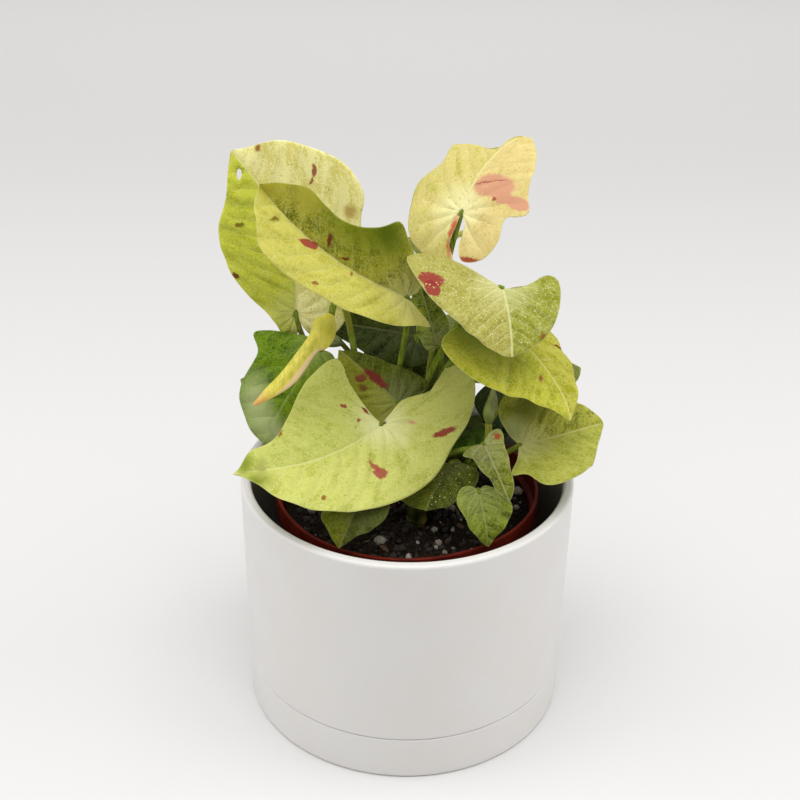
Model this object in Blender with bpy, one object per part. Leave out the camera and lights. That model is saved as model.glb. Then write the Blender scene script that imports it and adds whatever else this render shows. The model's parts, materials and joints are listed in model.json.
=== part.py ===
"""Potted syngonium: an arrowhead plant in a thin red nursery pot, set in a white planter on its own saucer.

Every size below is in millimetres, and MM turns it into metres where a mesh is made.
The origin is the middle of the saucer's underside, +Z is up, and the viewer stands on the -Y side.
"""

import math
from dataclasses import dataclass, field

import bpy
import numpy as np

MM = 0.001
GAP = 0.3

# Planter and saucer, in white ceramic: the seam between them shows as a line round the outside
PLANTER_HEIGHT = 101.8
PLANTER_RIM_RADIUS = 66.5
PLANTER_BASE_RADIUS = 65.5
PLANTER_WALL = 4.1
PLANTER_FLOOR = 5.0
DRAIN_RADIUS = 6.0
SEAM_HEIGHT = 19.3
SAUCER_FLOOR = 3.6
SAUCER_WALL = 3.4
SAUCER_INSIDE = PLANTER_BASE_RADIUS - SAUCER_WALL
PLANTER_FLOOR_TOP = SAUCER_FLOOR + GAP + PLANTER_FLOOR
CERAMIC_EDGE = 1.2
CORNER_STEPS = 2
ROUND_STEPS = 48

# Nursery pot, in thin red-brown plastic
NURSERY_RIM_RADIUS = 52.7
NURSERY_RIM_TOP = 95.9
NURSERY_RIM_BAND = 9.0
NURSERY_RIM_STEP = 1.8
NURSERY_BASE_RADIUS = 37.0
NURSERY_WALL = 1.3
NURSERY_FOOT = PLANTER_FLOOR_TOP + GAP
NURSERY_HOLE_RADIUS = 4.0
NURSERY_HOLE_PLACE = 24.0
NURSERY_HOLES = 4

# Soil: its mean height, and the waves on it as (height, turns a millimetre along x and along y, shift)
SOIL_TOP = 88.0
SOIL_WAVES = [(0.9, 0.31, 0.27, 1.0), (0.7, 0.52, -0.41, 0.0), (0.45, 0.60, 0.83, 1.6)]
SOIL_EDGE_DROP = 1.5
SOIL_RINGS = 6
SOIL_STEPS = 40

# Stems: short upright growths, each in a plain hole in the soil
STEM_RADIUS = 4.2
STEM_FOOT = 76.0
STEM_DOME = 3.0
ROUND_SIDES = 12
# Each stem: its place in the pot as (x, y), and the height of its top
STEMS = {
    "stem_left": ((-15, -3), 116),
    "stem_front": ((4, -14), 108),
    "stem_right": ((17, 2), 116),
    "stem_back": ((1, 15), 116),
}

# Petioles: each ends STALK_GAP clear of its stem and goes STALK_THROUGH into its blade
STALK_RADIUS = 1.3
STALK_GAP = 0.35
STALK_THROUGH = 0.4
STALK_STEPS = 9
ROLL_STEPS = 3
TUBE_RESOLUTION = 1

# Blades: how they bend, as shares of the length, millimetres and degrees
BLADE_THICKNESS = 0.7
HOOK_START = 0.7
DROOP_REACH = 22.0
CURL_SPAN = 30.0
TINY = 1e-9

# The blades' grids: rows along the lobe, rows along the midrib, columns from vein to margin
LARGE_LEAF = 40.0
LARGE_GRID = (3, 7, 2)
SMALL_GRID = (2, 4, 2)
MIDRIB_STEPS = 120
MARGIN_STEPS = 24
POINT_DIGITS = 2
VEIN_DEPTH = 0.7
VEIN_CLEAR = 12.0
SHOULDER = 0.6

# The plain arrow outline, as shares of the lobe's length, its spread, the midrib's length and the half width
PLAIN_LOBE = [(-0.45, 0.25), (-1.0, 0.7), (-0.75, 1.35)]
PLAIN_SIDE = [(0.12, 1.0), (0.45, 0.8), (0.78, 0.36)]
PLAIN_SLACK = 1.02
PLAIN_FOLD = 12
PLAIN_CURL = -15
PLAIN_DROOP = 20
PLAIN_ARCH = 30
PLAIN_HOOK = 10

# Surface finish, from 0 for a mirror to 1 for chalk
GLAZE_ROUGHNESS = 0.35
PLASTIC_ROUGHNESS = 0.45
LEAF_ROUGHNESS = 0.4
STEM_ROUGHNESS = 0.5
SOIL_ROUGHNESS = 0.95

# Points closer than this are made one, in metres
MERGE = 0.00001

# Colours, as linear red, green and blue
WHITE_CERAMIC = (0.82, 0.81, 0.78)
RED_PLASTIC = (0.20, 0.045, 0.03)
DARK_SOIL = (0.02, 0.015, 0.012)
STEM_GREEN = (0.18, 0.25, 0.06)
CREAM = (0.62, 0.60, 0.24)
LIME = (0.40, 0.45, 0.08)
OLIVE = (0.20, 0.24, 0.05)
GREEN = (0.08, 0.19, 0.04)
GREY_GREEN = (0.24, 0.30, 0.15)
PINK = (0.70, 0.42, 0.30)


@dataclass
class Half:
    """One side of a blade.

    fold: slope of the half away from the midrib's plane, in degrees.
    curl: how far it turns across every CURL_SPAN of width, in degrees.
    droop: how far its lobe bends down behind the junction over DROOP_REACH, in degrees.
    edge: the margin from the junction round the lobe to the tip, as (along the midrib, out from it).
    """

    fold: float = 0
    curl: float = 0
    droop: float = 15
    edge: list = field(default_factory=list)


@dataclass
class Stalk:
    """A petiole from a stem to the blade: its stem, the side of it in degrees, the height, and two bends."""

    stem: str
    side: float
    height: float
    bends: list


@dataclass
class Leaf:
    """A blade whose midrib goes from junction to tip.

    roll: turn about the midrib. arch and sweep: bend of the midrib down and sideways, tip against junction.
    hook: extra bend down of its last part. twist: turn of the tip against the junction. All in degrees.
    """

    junction: tuple
    tip: tuple
    left: Half
    right: Half
    stalk: Stalk
    color: tuple = OLIVE
    roll: float = 0
    arch: float = 0
    hook: float = 0
    sweep: float = 0
    twist: float = 0


@dataclass
class Roll:
    """A young leaf, still rolled into a spindle: its middle line and its radius at each point of it."""

    points: list
    radii: list
    stalk: Stalk
    color: tuple = LIME


def plain_leaf(junction, tip, width, lobe, spread, stalk, roll=0, color=OLIVE):
    """A leaf with the plain arrow outline: its half width, its lobes' length and how far they stand apart."""
    length = PLAIN_SLACK * math.dist(junction, tip)
    edge = [(lobe * along, spread * out) for along, out in PLAIN_LOBE]
    edge += [(length * along, width * out) for along, out in PLAIN_SIDE]
    side = Half(PLAIN_FOLD, PLAIN_CURL, PLAIN_DROOP, edge)
    return Leaf(junction, tip, side, side, stalk, color, roll=roll, arch=PLAIN_ARCH, hook=PLAIN_HOOK)


GROWTHS = {
    "leaf_back_left": Leaf(
        junction=(-44, 14, 164), tip=(-66, 14, 229), roll=-86, arch=10, hook=10, sweep=50,
        left=Half(fold=12, curl=-20, droop=20, edge=[
            (-8, -2), (-14, 2), (-4, 8), (8, 18), (25, 24), (47, 22), (59, 12), (66, 6)]),
        right=Half(fold=8, curl=-20, droop=20, edge=[
            (-7, 4), (-12, 11), (-2, 19), (13, 25), (31, 29), (37, 33), (46, 32), (55, 25),
            (64, 15), (68, 5)]),
        stalk=Stalk("stem_left", side=126, height=107, bends=[(-43, 20, 144), (-23, 8, 127)]),
        color=CREAM),
    "leaf_upper_left": Leaf(
        junction=(-1, -8, 181), tip=(-53, -16, 227), roll=-45, arch=-10, hook=-10, sweep=-30,
        left=Half(fold=25, curl=-30, droop=20, edge=[
            (-7, 6), (-10, 9), (-3, 12), (10, 16), (23, 18), (41, 20), (55, 21), (62, 16),
            (68, 8)]),
        right=Half(fold=35, droop=-10, edge=[
            (-3, 3), (-1, 11), (8, 18), (18, 24), (25, 18), (38, 13), (48, 13), (58, 13),
            (67, 6)]),
        stalk=Stalk("stem_left", side=40, height=101, bends=[(2, 18, 165), (-6, 12, 132)]),
        color=OLIVE),
    "leaf_crown_pink": Leaf(
        junction=(19, 12, 207), tip=(44, 30, 230), roll=5, arch=20, hook=50, sweep=-45,
        left=Half(fold=12, curl=-30, droop=30, edge=[
            (-6, 1), (-13, 3), (-19, 1), (-18, 11), (-12, 20), (0, 24), (8, 26), (15, 18),
            (21, 19), (24, 10), (27, 2), (33, 1)]),
        right=Half(fold=15, curl=-20, droop=10, edge=[
            (-7, 4), (-13, 3), (-19, 6), (-18, 15), (-11, 21), (-3, 22), (-1, 30), (12, 28),
            (29, 23), (36, 16)]),
        stalk=Stalk("stem_back", side=-52, height=107, bends=[(10, 13, 174), (8, 9, 136)]),
        color=PINK),
    "leaf_upper_right": Leaf(
        junction=(33, -16, 189), tip=(36, -38, 172), roll=-8, arch=45,
        left=Half(fold=5, curl=10, droop=10, edge=[
            (1, 4), (-1, 11), (-4, 18), (-1, 21), (13, 18), (21, 13), (26, 6)]),
        right=Half(fold=0, curl=5, droop=0, edge=[
            (-5, 4), (-14, 13), (-18, 23), (-14, 33), (3, 30), (14, 22), (23, 12), (28, 4)]),
        stalk=Stalk("stem_back", side=-95, height=107, bends=[(22, -9, 185), (5, 13, 140)]),
        color=GREY_GREEN),
    "leaf_middle_right": Leaf(
        junction=(34, 4, 165), tip=(60, -26, 140), roll=-10, arch=35, hook=20, sweep=-10,
        left=Half(fold=5, curl=-15, droop=15, edge=[
            (-2, 8), (0, 19), (9, 19), (20, 16), (34, 11), (44, 4)]),
        right=Half(fold=0, curl=-10, droop=15, edge=[
            (-4, 5), (-7, 17), (-3, 31), (15, 34), (28, 29), (37, 17), (44, 7)]),
        stalk=Stalk("stem_right", side=-169, height=105, bends=[(17, 14, 150), (2, 8, 132)]),
        color=LIME),
    "leaf_low_right": Leaf(
        junction=(43, -12, 121), tip=(76, -4, 126), roll=25, arch=10, hook=30, sweep=15, twist=20,
        left=Half(fold=12, droop=10, edge=[
            (-3, 5), (-5, 15), (0, 22), (14, 19), (26, 11), (32, 5)]),
        right=Half(fold=25, droop=10, edge=[
            (-2, 10), (-5, 20), (0, 20), (5, 27), (13, 25), (21, 20), (28, 9)]),
        stalk=Stalk("stem_right", side=-39, height=102, bends=[(35, -9, 112), (24, -2, 108)]),
        color=GREY_GREEN),
    "leaf_front": Leaf(
        junction=(-10, -16, 132), tip=(-63, -50, 130), roll=-40, hook=30, sweep=-40,
        left=Half(fold=20, curl=-30, droop=-10, edge=[
            (-7, -1), (-14, -2), (-25, 3), (-42, -1), (-41, 11), (-29, 21), (-14, 25), (2, 29),
            (19, 27), (35, 22), (48, 15), (57, 6), (62, 1)]),
        right=Half(fold=0, curl=-15, droop=10, edge=[
            (0, 8), (-3, 21), (-8, 31), (10, 32), (24, 27), (36, 19), (47, 11), (57, 8), (62, 2)]),
        stalk=Stalk("stem_left", side=-78, height=108, bends=[(-13, -13, 123), (-14, -10, 114)]),
        color=LIME),
    "leaf_inner_red": Leaf(
        junction=(-4, -1.7, 133.3), tip=(-27.5, 12.5, 149), roll=-30, arch=12, hook=10,
        left=Half(fold=5, droop=5, edge=[
            (-2, 4), (-3, 10), (1, 14), (12, 14), (24, 9)]),
        right=Half(fold=5, droop=15, edge=[
            (-3, 4), (-4, 10), (-3, 14), (2, 14), (12, 10), (24, 5)]),
        stalk=Stalk("stem_left", side=5, height=110, bends=[(-3, 0, 127), (-6, 0, 118)]),
        color=GREEN),
    "leaf_low_left": Leaf(
        junction=(-34, 7, 152), tip=(-57, -5, 116), roll=-35, arch=30, hook=10,
        left=Half(fold=-24, droop=15, edge=[
            (-1, 5), (4, 11), (17, 13), (32, 11), (43, 7)]),
        right=Half(fold=5, droop=15, edge=[
            (-1, 7), (2, 14), (6, 22), (10, 26), (15, 20), (29, 19), (37, 14), (42, 7)]),
        stalk=Stalk("stem_left", side=204, height=110, bends=[(-32, 15, 143), (-28, -8, 128)]),
        color=GREEN),
    "leaf_small_front_left": Leaf(
        junction=(-17, -40, 113), tip=(-25, -54, 101), roll=-20, arch=50, hook=20,
        left=Half(fold=10, droop=15, edge=[
            (-2, 4), (-2, 10), (6, 11), (11, 8), (15, 4), (18, 2)]),
        right=Half(fold=20, droop=15, edge=[
            (5, 5), (9, 10), (13, 11), (16, 7), (19, 3)]),
        stalk=Stalk("stem_front", side=-139, height=100, bends=[(-12, -31, 109), (-2, -18, 105)]),
        color=LIME),
    "leaf_small_front_middle": Leaf(
        junction=(17, -14, 114), tip=(7, -36, 106), roll=10, arch=20, hook=10,
        left=Half(fold=8, droop=15, edge=[
            (0, 5), (5, 14), (14, 17), (20, 13), (24, 7)]),
        right=Half(fold=0, droop=15, edge=[
            (1, 6), (7, 13), (16, 15), (22, 12), (25, 6)]),
        stalk=Stalk("stem_right", side=-69, height=107, bends=[(17, -11, 112), (19, -4, 109)]),
        color=GREEN),
    "leaf_small_front_right": Leaf(
        junction=(26, -40, 118), tip=(30, -46, 97), roll=15, arch=35, hook=15,
        left=Half(fold=20, droop=15, edge=[
            (-1, 3), (3, 8), (8, 11), (15, 7), (20, 2)]),
        right=Half(fold=25, droop=15, edge=[
            (-2, 3), (-2, 8), (2, 11), (7, 10), (15, 6)]),
        stalk=Stalk("stem_front", side=-12, height=98, bends=[(30, -40, 110), (12, -16, 107)]),
        color=GREEN),
    "leaf_narrow_front": Leaf(
        junction=(28, -30, 132), tip=(37, -48, 118), roll=20, arch=35, hook=10,
        left=Half(fold=25, droop=15, edge=[
            (-2, 4), (-1, 8), (6, 7), (16, 5), (22, 3)]),
        right=Half(fold=30, droop=15, edge=[
            (1, 5), (5, 11), (7, 8), (14, 5), (20, 3)]),
        stalk=Stalk("stem_front", side=55, height=104, bends=[(29, -18, 121), (10, -6, 118)]),
        color=GREY_GREEN),
    "leaf_inner_right": Leaf(
        junction=(30, 6, 120), tip=(17, -6, 117), arch=25, hook=10,
        left=Half(fold=10, droop=15, edge=[
            (5, 7), (13, 14), (18, 13), (20, 6)]),
        right=Half(fold=10, droop=15, edge=[
            (-2, 5), (3, 7), (10, 5), (15, 3)]),
        stalk=Stalk("stem_right", side=-1, height=108, bends=[(28, 5, 116), (24, 2, 113)]),
        color=GREEN),
    "leaf_inner_folded": Leaf(
        junction=(11, 5.5, 154), tip=(1, 8, 188), roll=-60, arch=10, hook=10,
        left=Half(fold=30, droop=15, edge=[
            (0, 3), (5, 7), (16, 7), (27, 5)]),
        right=Half(fold=35, droop=15, edge=[
            (1, 3), (8, 7), (18, 6), (29, 3)]),
        stalk=Stalk("stem_right", side=111, height=106, bends=[(13, 12, 157), (13, 16, 132)]),
        color=GREEN),
    "leaf_back_middle": plain_leaf(
        junction=(8, 39.5, 150), tip=(9, 64, 125), width=22, lobe=14, spread=10,
        stalk=Stalk("stem_back", side=128, height=103, bends=[(1, 27, 137), (-5, 22, 116)]),
        color=LIME),
    "leaf_back_right": plain_leaf(
        junction=(30, 25, 166), tip=(46, 59, 148), width=22, lobe=14, spread=10, roll=10,
        stalk=Stalk("stem_right", side=75, height=106, bends=[(27, 22, 147), (21, 13, 128)]),
        color=CREAM),
    "leaf_back_low_left": plain_leaf(
        junction=(-29, 38, 141), tip=(-46, 62, 119), width=21, lobe=14, spread=10,
        stalk=Stalk("stem_back", side=157, height=110, bends=[(-21, 31, 136), (-9, 19, 122)]),
        color=GREEN),
    "leaf_side_right": plain_leaf(
        junction=(46, 16, 146), tip=(66, 32, 120), width=20, lobe=13, spread=9, roll=-10,
        stalk=Stalk("stem_right", side=39, height=97, bends=[(41, 15, 128), (27, 7, 112)]),
        color=LIME),
    "leaf_back_small_middle": plain_leaf(
        junction=(-4, 38, 122), tip=(-12, 62, 108), width=18, lobe=11, spread=8,
        stalk=Stalk("stem_back", side=96, height=110, bends=[(-3, 32, 116), (0, 24, 116)]),
        color=GREEN),
    "leaf_side_left": plain_leaf(
        junction=(-49, 22, 137), tip=(-64, 38, 112), width=17, lobe=11, spread=8,
        stalk=Stalk("stem_left", side=162, height=109, bends=[(-36, 13, 133), (-24, -1, 117)]),
        color=LIME),
    "leaf_back_small_right": plain_leaf(
        junction=(28, 32, 128), tip=(46, 54, 108), width=18, lobe=11, spread=8,
        stalk=Stalk("stem_back", side=-1, height=110, bends=[(20, 27, 120), (8, 15, 116)]),
        color=OLIVE),
    "leaf_crown_back": plain_leaf(
        junction=(14, 34, 188), tip=(8, 60, 166), width=18, lobe=12, spread=8, roll=-5,
        stalk=Stalk("stem_back", side=45, height=104, bends=[(-1, 30, 166), (12, 37, 142)]),
        color=CREAM),
    "leaf_back_upper": plain_leaf(
        junction=(-16, 30, 175), tip=(-24, 58, 155), width=19, lobe=13, spread=9, roll=5,
        stalk=Stalk("stem_left", side=78, height=100, bends=[(-20, 33, 142), (-13, 8, 113)]),
        color=CREAM),
    "leaf_inner_left": plain_leaf(
        junction=(3, 23.4, 150), tip=(-36, 24, 155.5), width=14.5, lobe=8, spread=7, roll=-50,
        stalk=Stalk("stem_back", side=186, height=109, bends=[(4, 16, 140), (-9, 13, 124)]),
        color=GREEN),
    "leaf_inner_small": plain_leaf(
        junction=(26, 10, 151), tip=(34, 11, 165), width=9, lobe=6, spread=4, roll=40,
        stalk=Stalk("stem_right", side=141, height=104, bends=[(26, 16, 142), (6, 6, 128)]),
        color=LIME),
    "leaf_inner_back": plain_leaf(
        junction=(17, 25, 132), tip=(-14, 27, 139), width=10.5, lobe=8, spread=6, roll=-45,
        stalk=Stalk("stem_back", side=-27, height=103, bends=[(18, 22, 124), (13, 12, 112)]),
        color=GREEN),
    "leaf_inner_low": plain_leaf(
        junction=(37, 19, 129), tip=(38, 16, 106), width=12, lobe=3, spread=5,
        stalk=Stalk("stem_right", side=75, height=102, bends=[(37, 23, 121), (23, 15, 106)]),
        color=GREEN),
    "leaf_rolled_young": Roll(
        points=[
            (-29, -7, 173), (-31, -10, 170), (-33, -13, 167), (-37, -17, 165), (-45, -25, 157),
            (-51, -29, 152), (-56, -33, 149)],
        radii=[1.4, 4.2, 4.6, 2.3, 2.1, 1.9, 0.7],
        stalk=Stalk("stem_left", side=103, height=109, bends=[(-26, 18.5, 189), (-20, 18, 138)]),
        color=CREAM),
    "leaf_young_tip": Roll(
        points=[(30, -23, 137), (30, -23, 141), (31, -23, 146), (31, -24, 152)],
        radii=[1.3, 2.3, 2.0, 0.6],
        stalk=Stalk("stem_right", side=-60, height=95, bends=[(31, -26, 121), (22, -7, 105)]),
        color=GREY_GREEN),
}


def clear_scene():
    for thing in list(bpy.data.objects):
        bpy.data.objects.remove(thing, do_unlink=True)


def surface(name, color, roughness):
    """A plain material with one colour and roughness."""
    made = bpy.data.materials.new(name)
    made.use_nodes = True
    shader = made.node_tree.nodes["Principled BSDF"]
    shader.inputs["Base Color"].default_value = (*color, 1)
    shader.inputs["Roughness"].default_value = roughness
    shader.inputs["Metallic"].default_value = 0
    return made


def mesh_object(name, points, edges, faces, material):
    """An object from points in millimetres, and edges or faces that list them."""
    mesh = bpy.data.meshes.new(name)
    mesh.from_pydata([tuple(np.multiply(point, MM)) for point in points], edges, faces)
    mesh.materials.append(material)
    made = bpy.data.objects.new(name, mesh)
    bpy.context.scene.collection.objects.link(made)
    return made


def lathe(name, profile, material, closed=False, place=(0, 0), steps=ROUND_STEPS):
    """A round piece: a profile of (radius, height), down its outside, turned about an upright axis."""
    count = len(profile)
    edges = [(i, i + 1) for i in range(count - 1)]
    if closed:
        edges.append((count - 1, 0))
    made = mesh_object(name, [(radius, 0, height) for radius, height in profile], edges, [], material)
    made.location = (place[0] * MM, place[1] * MM, 0)
    turn = made.modifiers.new("turn", "SCREW")
    turn.axis = "Z"
    turn.steps = steps
    turn.render_steps = steps
    turn.use_merge_vertices = True
    turn.merge_threshold = MERGE
    turn.use_smooth_shade = True
    return made


def cylinder(name, place, radius, bottom, top, sides, material):
    """A plain upright cylinder, used as a cutter."""
    profile = [(0, top), (radius, top), (radius, bottom), (0, bottom)]
    made = lathe(name, profile, material, place=place, steps=sides)
    bake(made)
    return made


def bake(target):
    """Keeps the shape that the object has with its modifiers, and drops them."""
    bpy.context.view_layer.update()
    shaped = target.evaluated_get(bpy.context.evaluated_depsgraph_get())
    mesh = bpy.data.meshes.new_from_object(shaped)
    target.modifiers.clear()
    target.data = mesh


def combine(target, others, operation):
    """Cuts the others out of the target, or joins them to it, and removes them."""
    for other in others:
        step = target.modifiers.new(other.name, "BOOLEAN")
        step.operation = operation
        step.solver = "EXACT"
        step.object = other
    bake(target)
    for other in others:
        bpy.data.objects.remove(other, do_unlink=True)


def corner(radius, height, size, start):
    """A rounded corner about (radius, height): a quarter turn clockwise from the start angle, in degrees."""
    turns = np.radians(np.linspace(start, start - 90, CORNER_STEPS + 1))
    return [(radius + size * math.cos(turn), height + size * math.sin(turn)) for turn in turns]


def outer_radius(height):
    """The planter and the saucer share one outside, a little wider at the rim."""
    share = height / PLANTER_HEIGHT
    return PLANTER_BASE_RADIUS + (PLANTER_RIM_RADIUS - PLANTER_BASE_RADIUS) * share


def make_saucer(ceramic):
    """A shallow dish whose wall is flush with the planter above it."""
    return lathe(
        "saucer",
        [
            (0, SAUCER_FLOOR),
            (SAUCER_INSIDE, SAUCER_FLOOR),
            (SAUCER_INSIDE, SEAM_HEIGHT),
            (outer_radius(SEAM_HEIGHT), SEAM_HEIGHT),
            *corner(PLANTER_BASE_RADIUS - CERAMIC_EDGE, CERAMIC_EDGE, CERAMIC_EDGE, 0),
            (0, 0),
        ],
        ceramic,
    )


def make_planter(ceramic):
    """A straight wall with a rounded rim, stepped in below the seam so that its foot stands in the saucer."""
    inside = PLANTER_RIM_RADIUS - PLANTER_WALL
    lip = PLANTER_HEIGHT - CERAMIC_EDGE
    shoulder = SEAM_HEIGHT + GAP
    foot = SAUCER_INSIDE - GAP
    return lathe(
        "planter",
        [
            (DRAIN_RADIUS, PLANTER_FLOOR_TOP),
            (foot - PLANTER_WALL, PLANTER_FLOOR_TOP),
            *corner(inside + CERAMIC_EDGE, lip, CERAMIC_EDGE, 180),
            *corner(PLANTER_RIM_RADIUS - CERAMIC_EDGE, lip, CERAMIC_EDGE, 90),
            (outer_radius(shoulder), shoulder),
            (foot, shoulder),
            (foot, SAUCER_FLOOR + GAP),
            (DRAIN_RADIUS, SAUCER_FLOOR + GAP),
        ],
        ceramic,
        closed=True,
    )


def make_nursery_pot(plastic):
    """A thin tapered pot with a wider band at its rim and drain holes in its floor."""
    under = NURSERY_RIM_TOP - NURSERY_RIM_BAND
    neck = NURSERY_RIM_RADIUS - NURSERY_RIM_STEP
    pot = lathe(
        "nursery_pot",
        [
            (0, NURSERY_FOOT + NURSERY_WALL),
            (NURSERY_BASE_RADIUS - NURSERY_WALL, NURSERY_FOOT + NURSERY_WALL),
            (neck - NURSERY_WALL, under),
            (NURSERY_RIM_RADIUS - NURSERY_WALL, under + NURSERY_WALL),
            (NURSERY_RIM_RADIUS - NURSERY_WALL, NURSERY_RIM_TOP),
            (NURSERY_RIM_RADIUS, NURSERY_RIM_TOP),
            (NURSERY_RIM_RADIUS, under),
            (neck, under),
            (NURSERY_BASE_RADIUS, NURSERY_FOOT),
            (0, NURSERY_FOOT),
        ],
        plastic,
    )
    drills = []
    for index in range(NURSERY_HOLES):
        turn = 2 * math.pi * (index + 0.5) / NURSERY_HOLES
        place = (NURSERY_HOLE_PLACE * math.cos(turn), NURSERY_HOLE_PLACE * math.sin(turn))
        bottom = NURSERY_FOOT - NURSERY_WALL
        top = NURSERY_FOOT + 2 * NURSERY_WALL
        drills.append(
            cylinder(f"drill_{index}", place, NURSERY_HOLE_RADIUS, bottom, top, ROUND_SIDES, plastic)
        )
    combine(pot, drills, "DIFFERENCE")


def soil_bumps(x, y):
    """Height of the soil over its mean: waves that cross at odd angles."""
    return sum(height * np.sin(along * x + across * y + shift) for height, along, across, shift in SOIL_WAVES)


def make_soil(earth):
    """The pot's filling: a bumpy top, a tapered side and a flat bottom, with a hole for each stem."""
    bottom = NURSERY_FOOT + NURSERY_WALL + GAP
    edge = NURSERY_RIM_RADIUS - NURSERY_RIM_STEP - NURSERY_WALL - 2 * GAP
    radii = np.linspace(0, edge, SOIL_RINGS + 1)[1:]
    turns = np.linspace(0, 2 * math.pi, SOIL_STEPS, endpoint=False)
    x = np.outer(radii, np.cos(turns))
    y = np.outer(radii, np.sin(turns))
    z = SOIL_TOP + soil_bumps(x, y)
    z[-1] = SOIL_TOP - SOIL_EDGE_DROP
    foot = (NURSERY_BASE_RADIUS - NURSERY_WALL - 2 * GAP) / edge
    rings = np.stack([x, y, z], axis=2)
    base = np.stack([x[-1] * foot, y[-1] * foot, np.full(SOIL_STEPS, bottom)], axis=1)
    points = [(0, 0, SOIL_TOP + float(soil_bumps(0, 0)))]
    points += rings.reshape(-1, 3).tolist() + base.tolist() + [(0, 0, bottom)]
    faces = []
    for step in range(SOIL_STEPS):
        after = (step + 1) % SOIL_STEPS
        faces.append((0, 1 + step, 1 + after))
        for ring in range(SOIL_RINGS):
            first = 1 + ring * SOIL_STEPS
            second = first + SOIL_STEPS
            faces.append((first + step, second + step, second + after))
            faces.append((first + step, second + after, first + after))
        last = 1 + SOIL_RINGS * SOIL_STEPS
        faces.append((last + step, len(points) - 1, last + after))
    soil = mesh_object("soil", points, [], faces, earth)
    holes = [
        cylinder(f"hole_{name}", place, STEM_RADIUS + GAP, STEM_FOOT, top, ROUND_SIDES, earth)
        for name, (place, top) in STEMS.items()
    ]
    combine(soil, holes, "DIFFERENCE")


def make_stems(green):
    """Short upright stems with rounded tops."""
    turns = np.radians(np.linspace(90, 0, CORNER_STEPS + 1))[1:]
    foot = STEM_FOOT + GAP
    for name, (place, top) in STEMS.items():
        dome = [
            (STEM_RADIUS * math.cos(turn), top - STEM_DOME * (1 - math.sin(turn))) for turn in turns
        ]
        lathe(name, [(0, top), *dome, (STEM_RADIUS, foot), (0, foot)], green, place=place, steps=ROUND_SIDES)


def unit(vector):
    return vector / np.linalg.norm(vector)


def midrib_frame(leaf):
    """The midrib as a curve, with its direction, side and normal at each of MIDRIB_STEPS + 1 stations.

    The curve's pitch and yaw change evenly along it, with the hook on its last third. It is then turned
    and sized so that it runs from the junction to the tip.
    """
    start = np.array(leaf.junction, float)
    reach = np.array(leaf.tip, float) - start
    ahead = unit(reach)
    up = unit(np.array([0, 0, 1.0]) - ahead * ahead[2])
    left = np.cross(up, ahead)
    roll = math.radians(leaf.roll)
    normal = up * math.cos(roll) - left * math.sin(roll)
    left = left * math.cos(roll) + up * math.sin(roll)
    along = np.linspace(0, 1, MIDRIB_STEPS + 1)
    pitch = np.radians(leaf.arch) * (0.5 - along)
    pitch -= np.radians(leaf.hook) * np.clip((along - HOOK_START) / (1 - HOOK_START), 0, 1) ** 2
    yaw = np.radians(leaf.sweep) * (along - 0.5)
    directions = np.stack([np.cos(pitch) * np.cos(yaw), np.cos(pitch) * np.sin(yaw), np.sin(pitch)], axis=1)
    sides = np.stack([-np.sin(yaw), np.cos(yaw), 0 * yaw], axis=1)
    steps = (directions[1:] + directions[:-1]) / 2 / MIDRIB_STEPS
    curve = np.vstack([np.zeros(3), np.cumsum(steps, axis=0)])
    chord = unit(curve[-1])
    chord_up = unit(np.array([0, 0, 1.0]) - chord * chord[2])
    turn = np.array([chord, np.cross(chord_up, chord), chord_up]).T @ np.array([ahead, left, normal])
    length = np.linalg.norm(reach) / np.linalg.norm(curve[-1])
    return {
        "start": start,
        "length": length,
        "along": along,
        "curve": curve * length @ turn,
        "ahead": directions @ turn,
        "side": sides @ turn,
        "normal": np.cross(directions, sides) @ turn,
    }


def bent(leaf, frame, half, flat, hand):
    """Bends a flat half blade into space.

    flat holds points as (along the midrib, out from it), and hand is 1 on the left, -1 on the right. Behind
    the junction the frame turns down along an arc. Across the blade the height is an arc that starts at the
    half's fold and turns by its curl. The twist turns each cross-section about the midrib.
    """
    along, out = flat[:, 0], flat[:, 1]
    share = np.clip(along / frame["length"], 0, 1)
    at = {}
    for key in ("curve", "ahead", "side", "normal"):
        columns = [np.interp(share, frame["along"], frame[key][:, axis]) for axis in range(3)]
        at[key] = np.stack(columns, axis=1)
    beyond = np.clip(along - frame["length"], 0, None)
    behind = np.clip(-along, 0, None)
    bend = math.radians(half.droop) / DROOP_REACH + TINY
    back = np.sin(bend * behind) / bend
    down = (1 - np.cos(bend * behind)) / bend
    middle = at["curve"] + (beyond - back)[:, None] * at["ahead"] - down[:, None] * at["normal"]
    cosine = np.cos(bend * behind)[:, None]
    sine = np.sin(bend * behind)[:, None]
    normal = at["normal"] * cosine - at["ahead"] * sine
    fold = math.radians(half.fold)
    curl = math.radians(half.curl) / CURL_SPAN + TINY
    across = hand * (np.sin(fold + curl * out) - math.sin(fold)) / curl
    height = (math.cos(fold) - np.cos(fold + curl * out)) / curl
    twist = math.radians(leaf.twist) * share
    sideways = across * np.cos(twist) - height * np.sin(twist)
    upward = across * np.sin(twist) + height * np.cos(twist)
    return frame["start"] + middle + sideways[:, None] * at["side"] + upward[:, None] * normal


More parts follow.
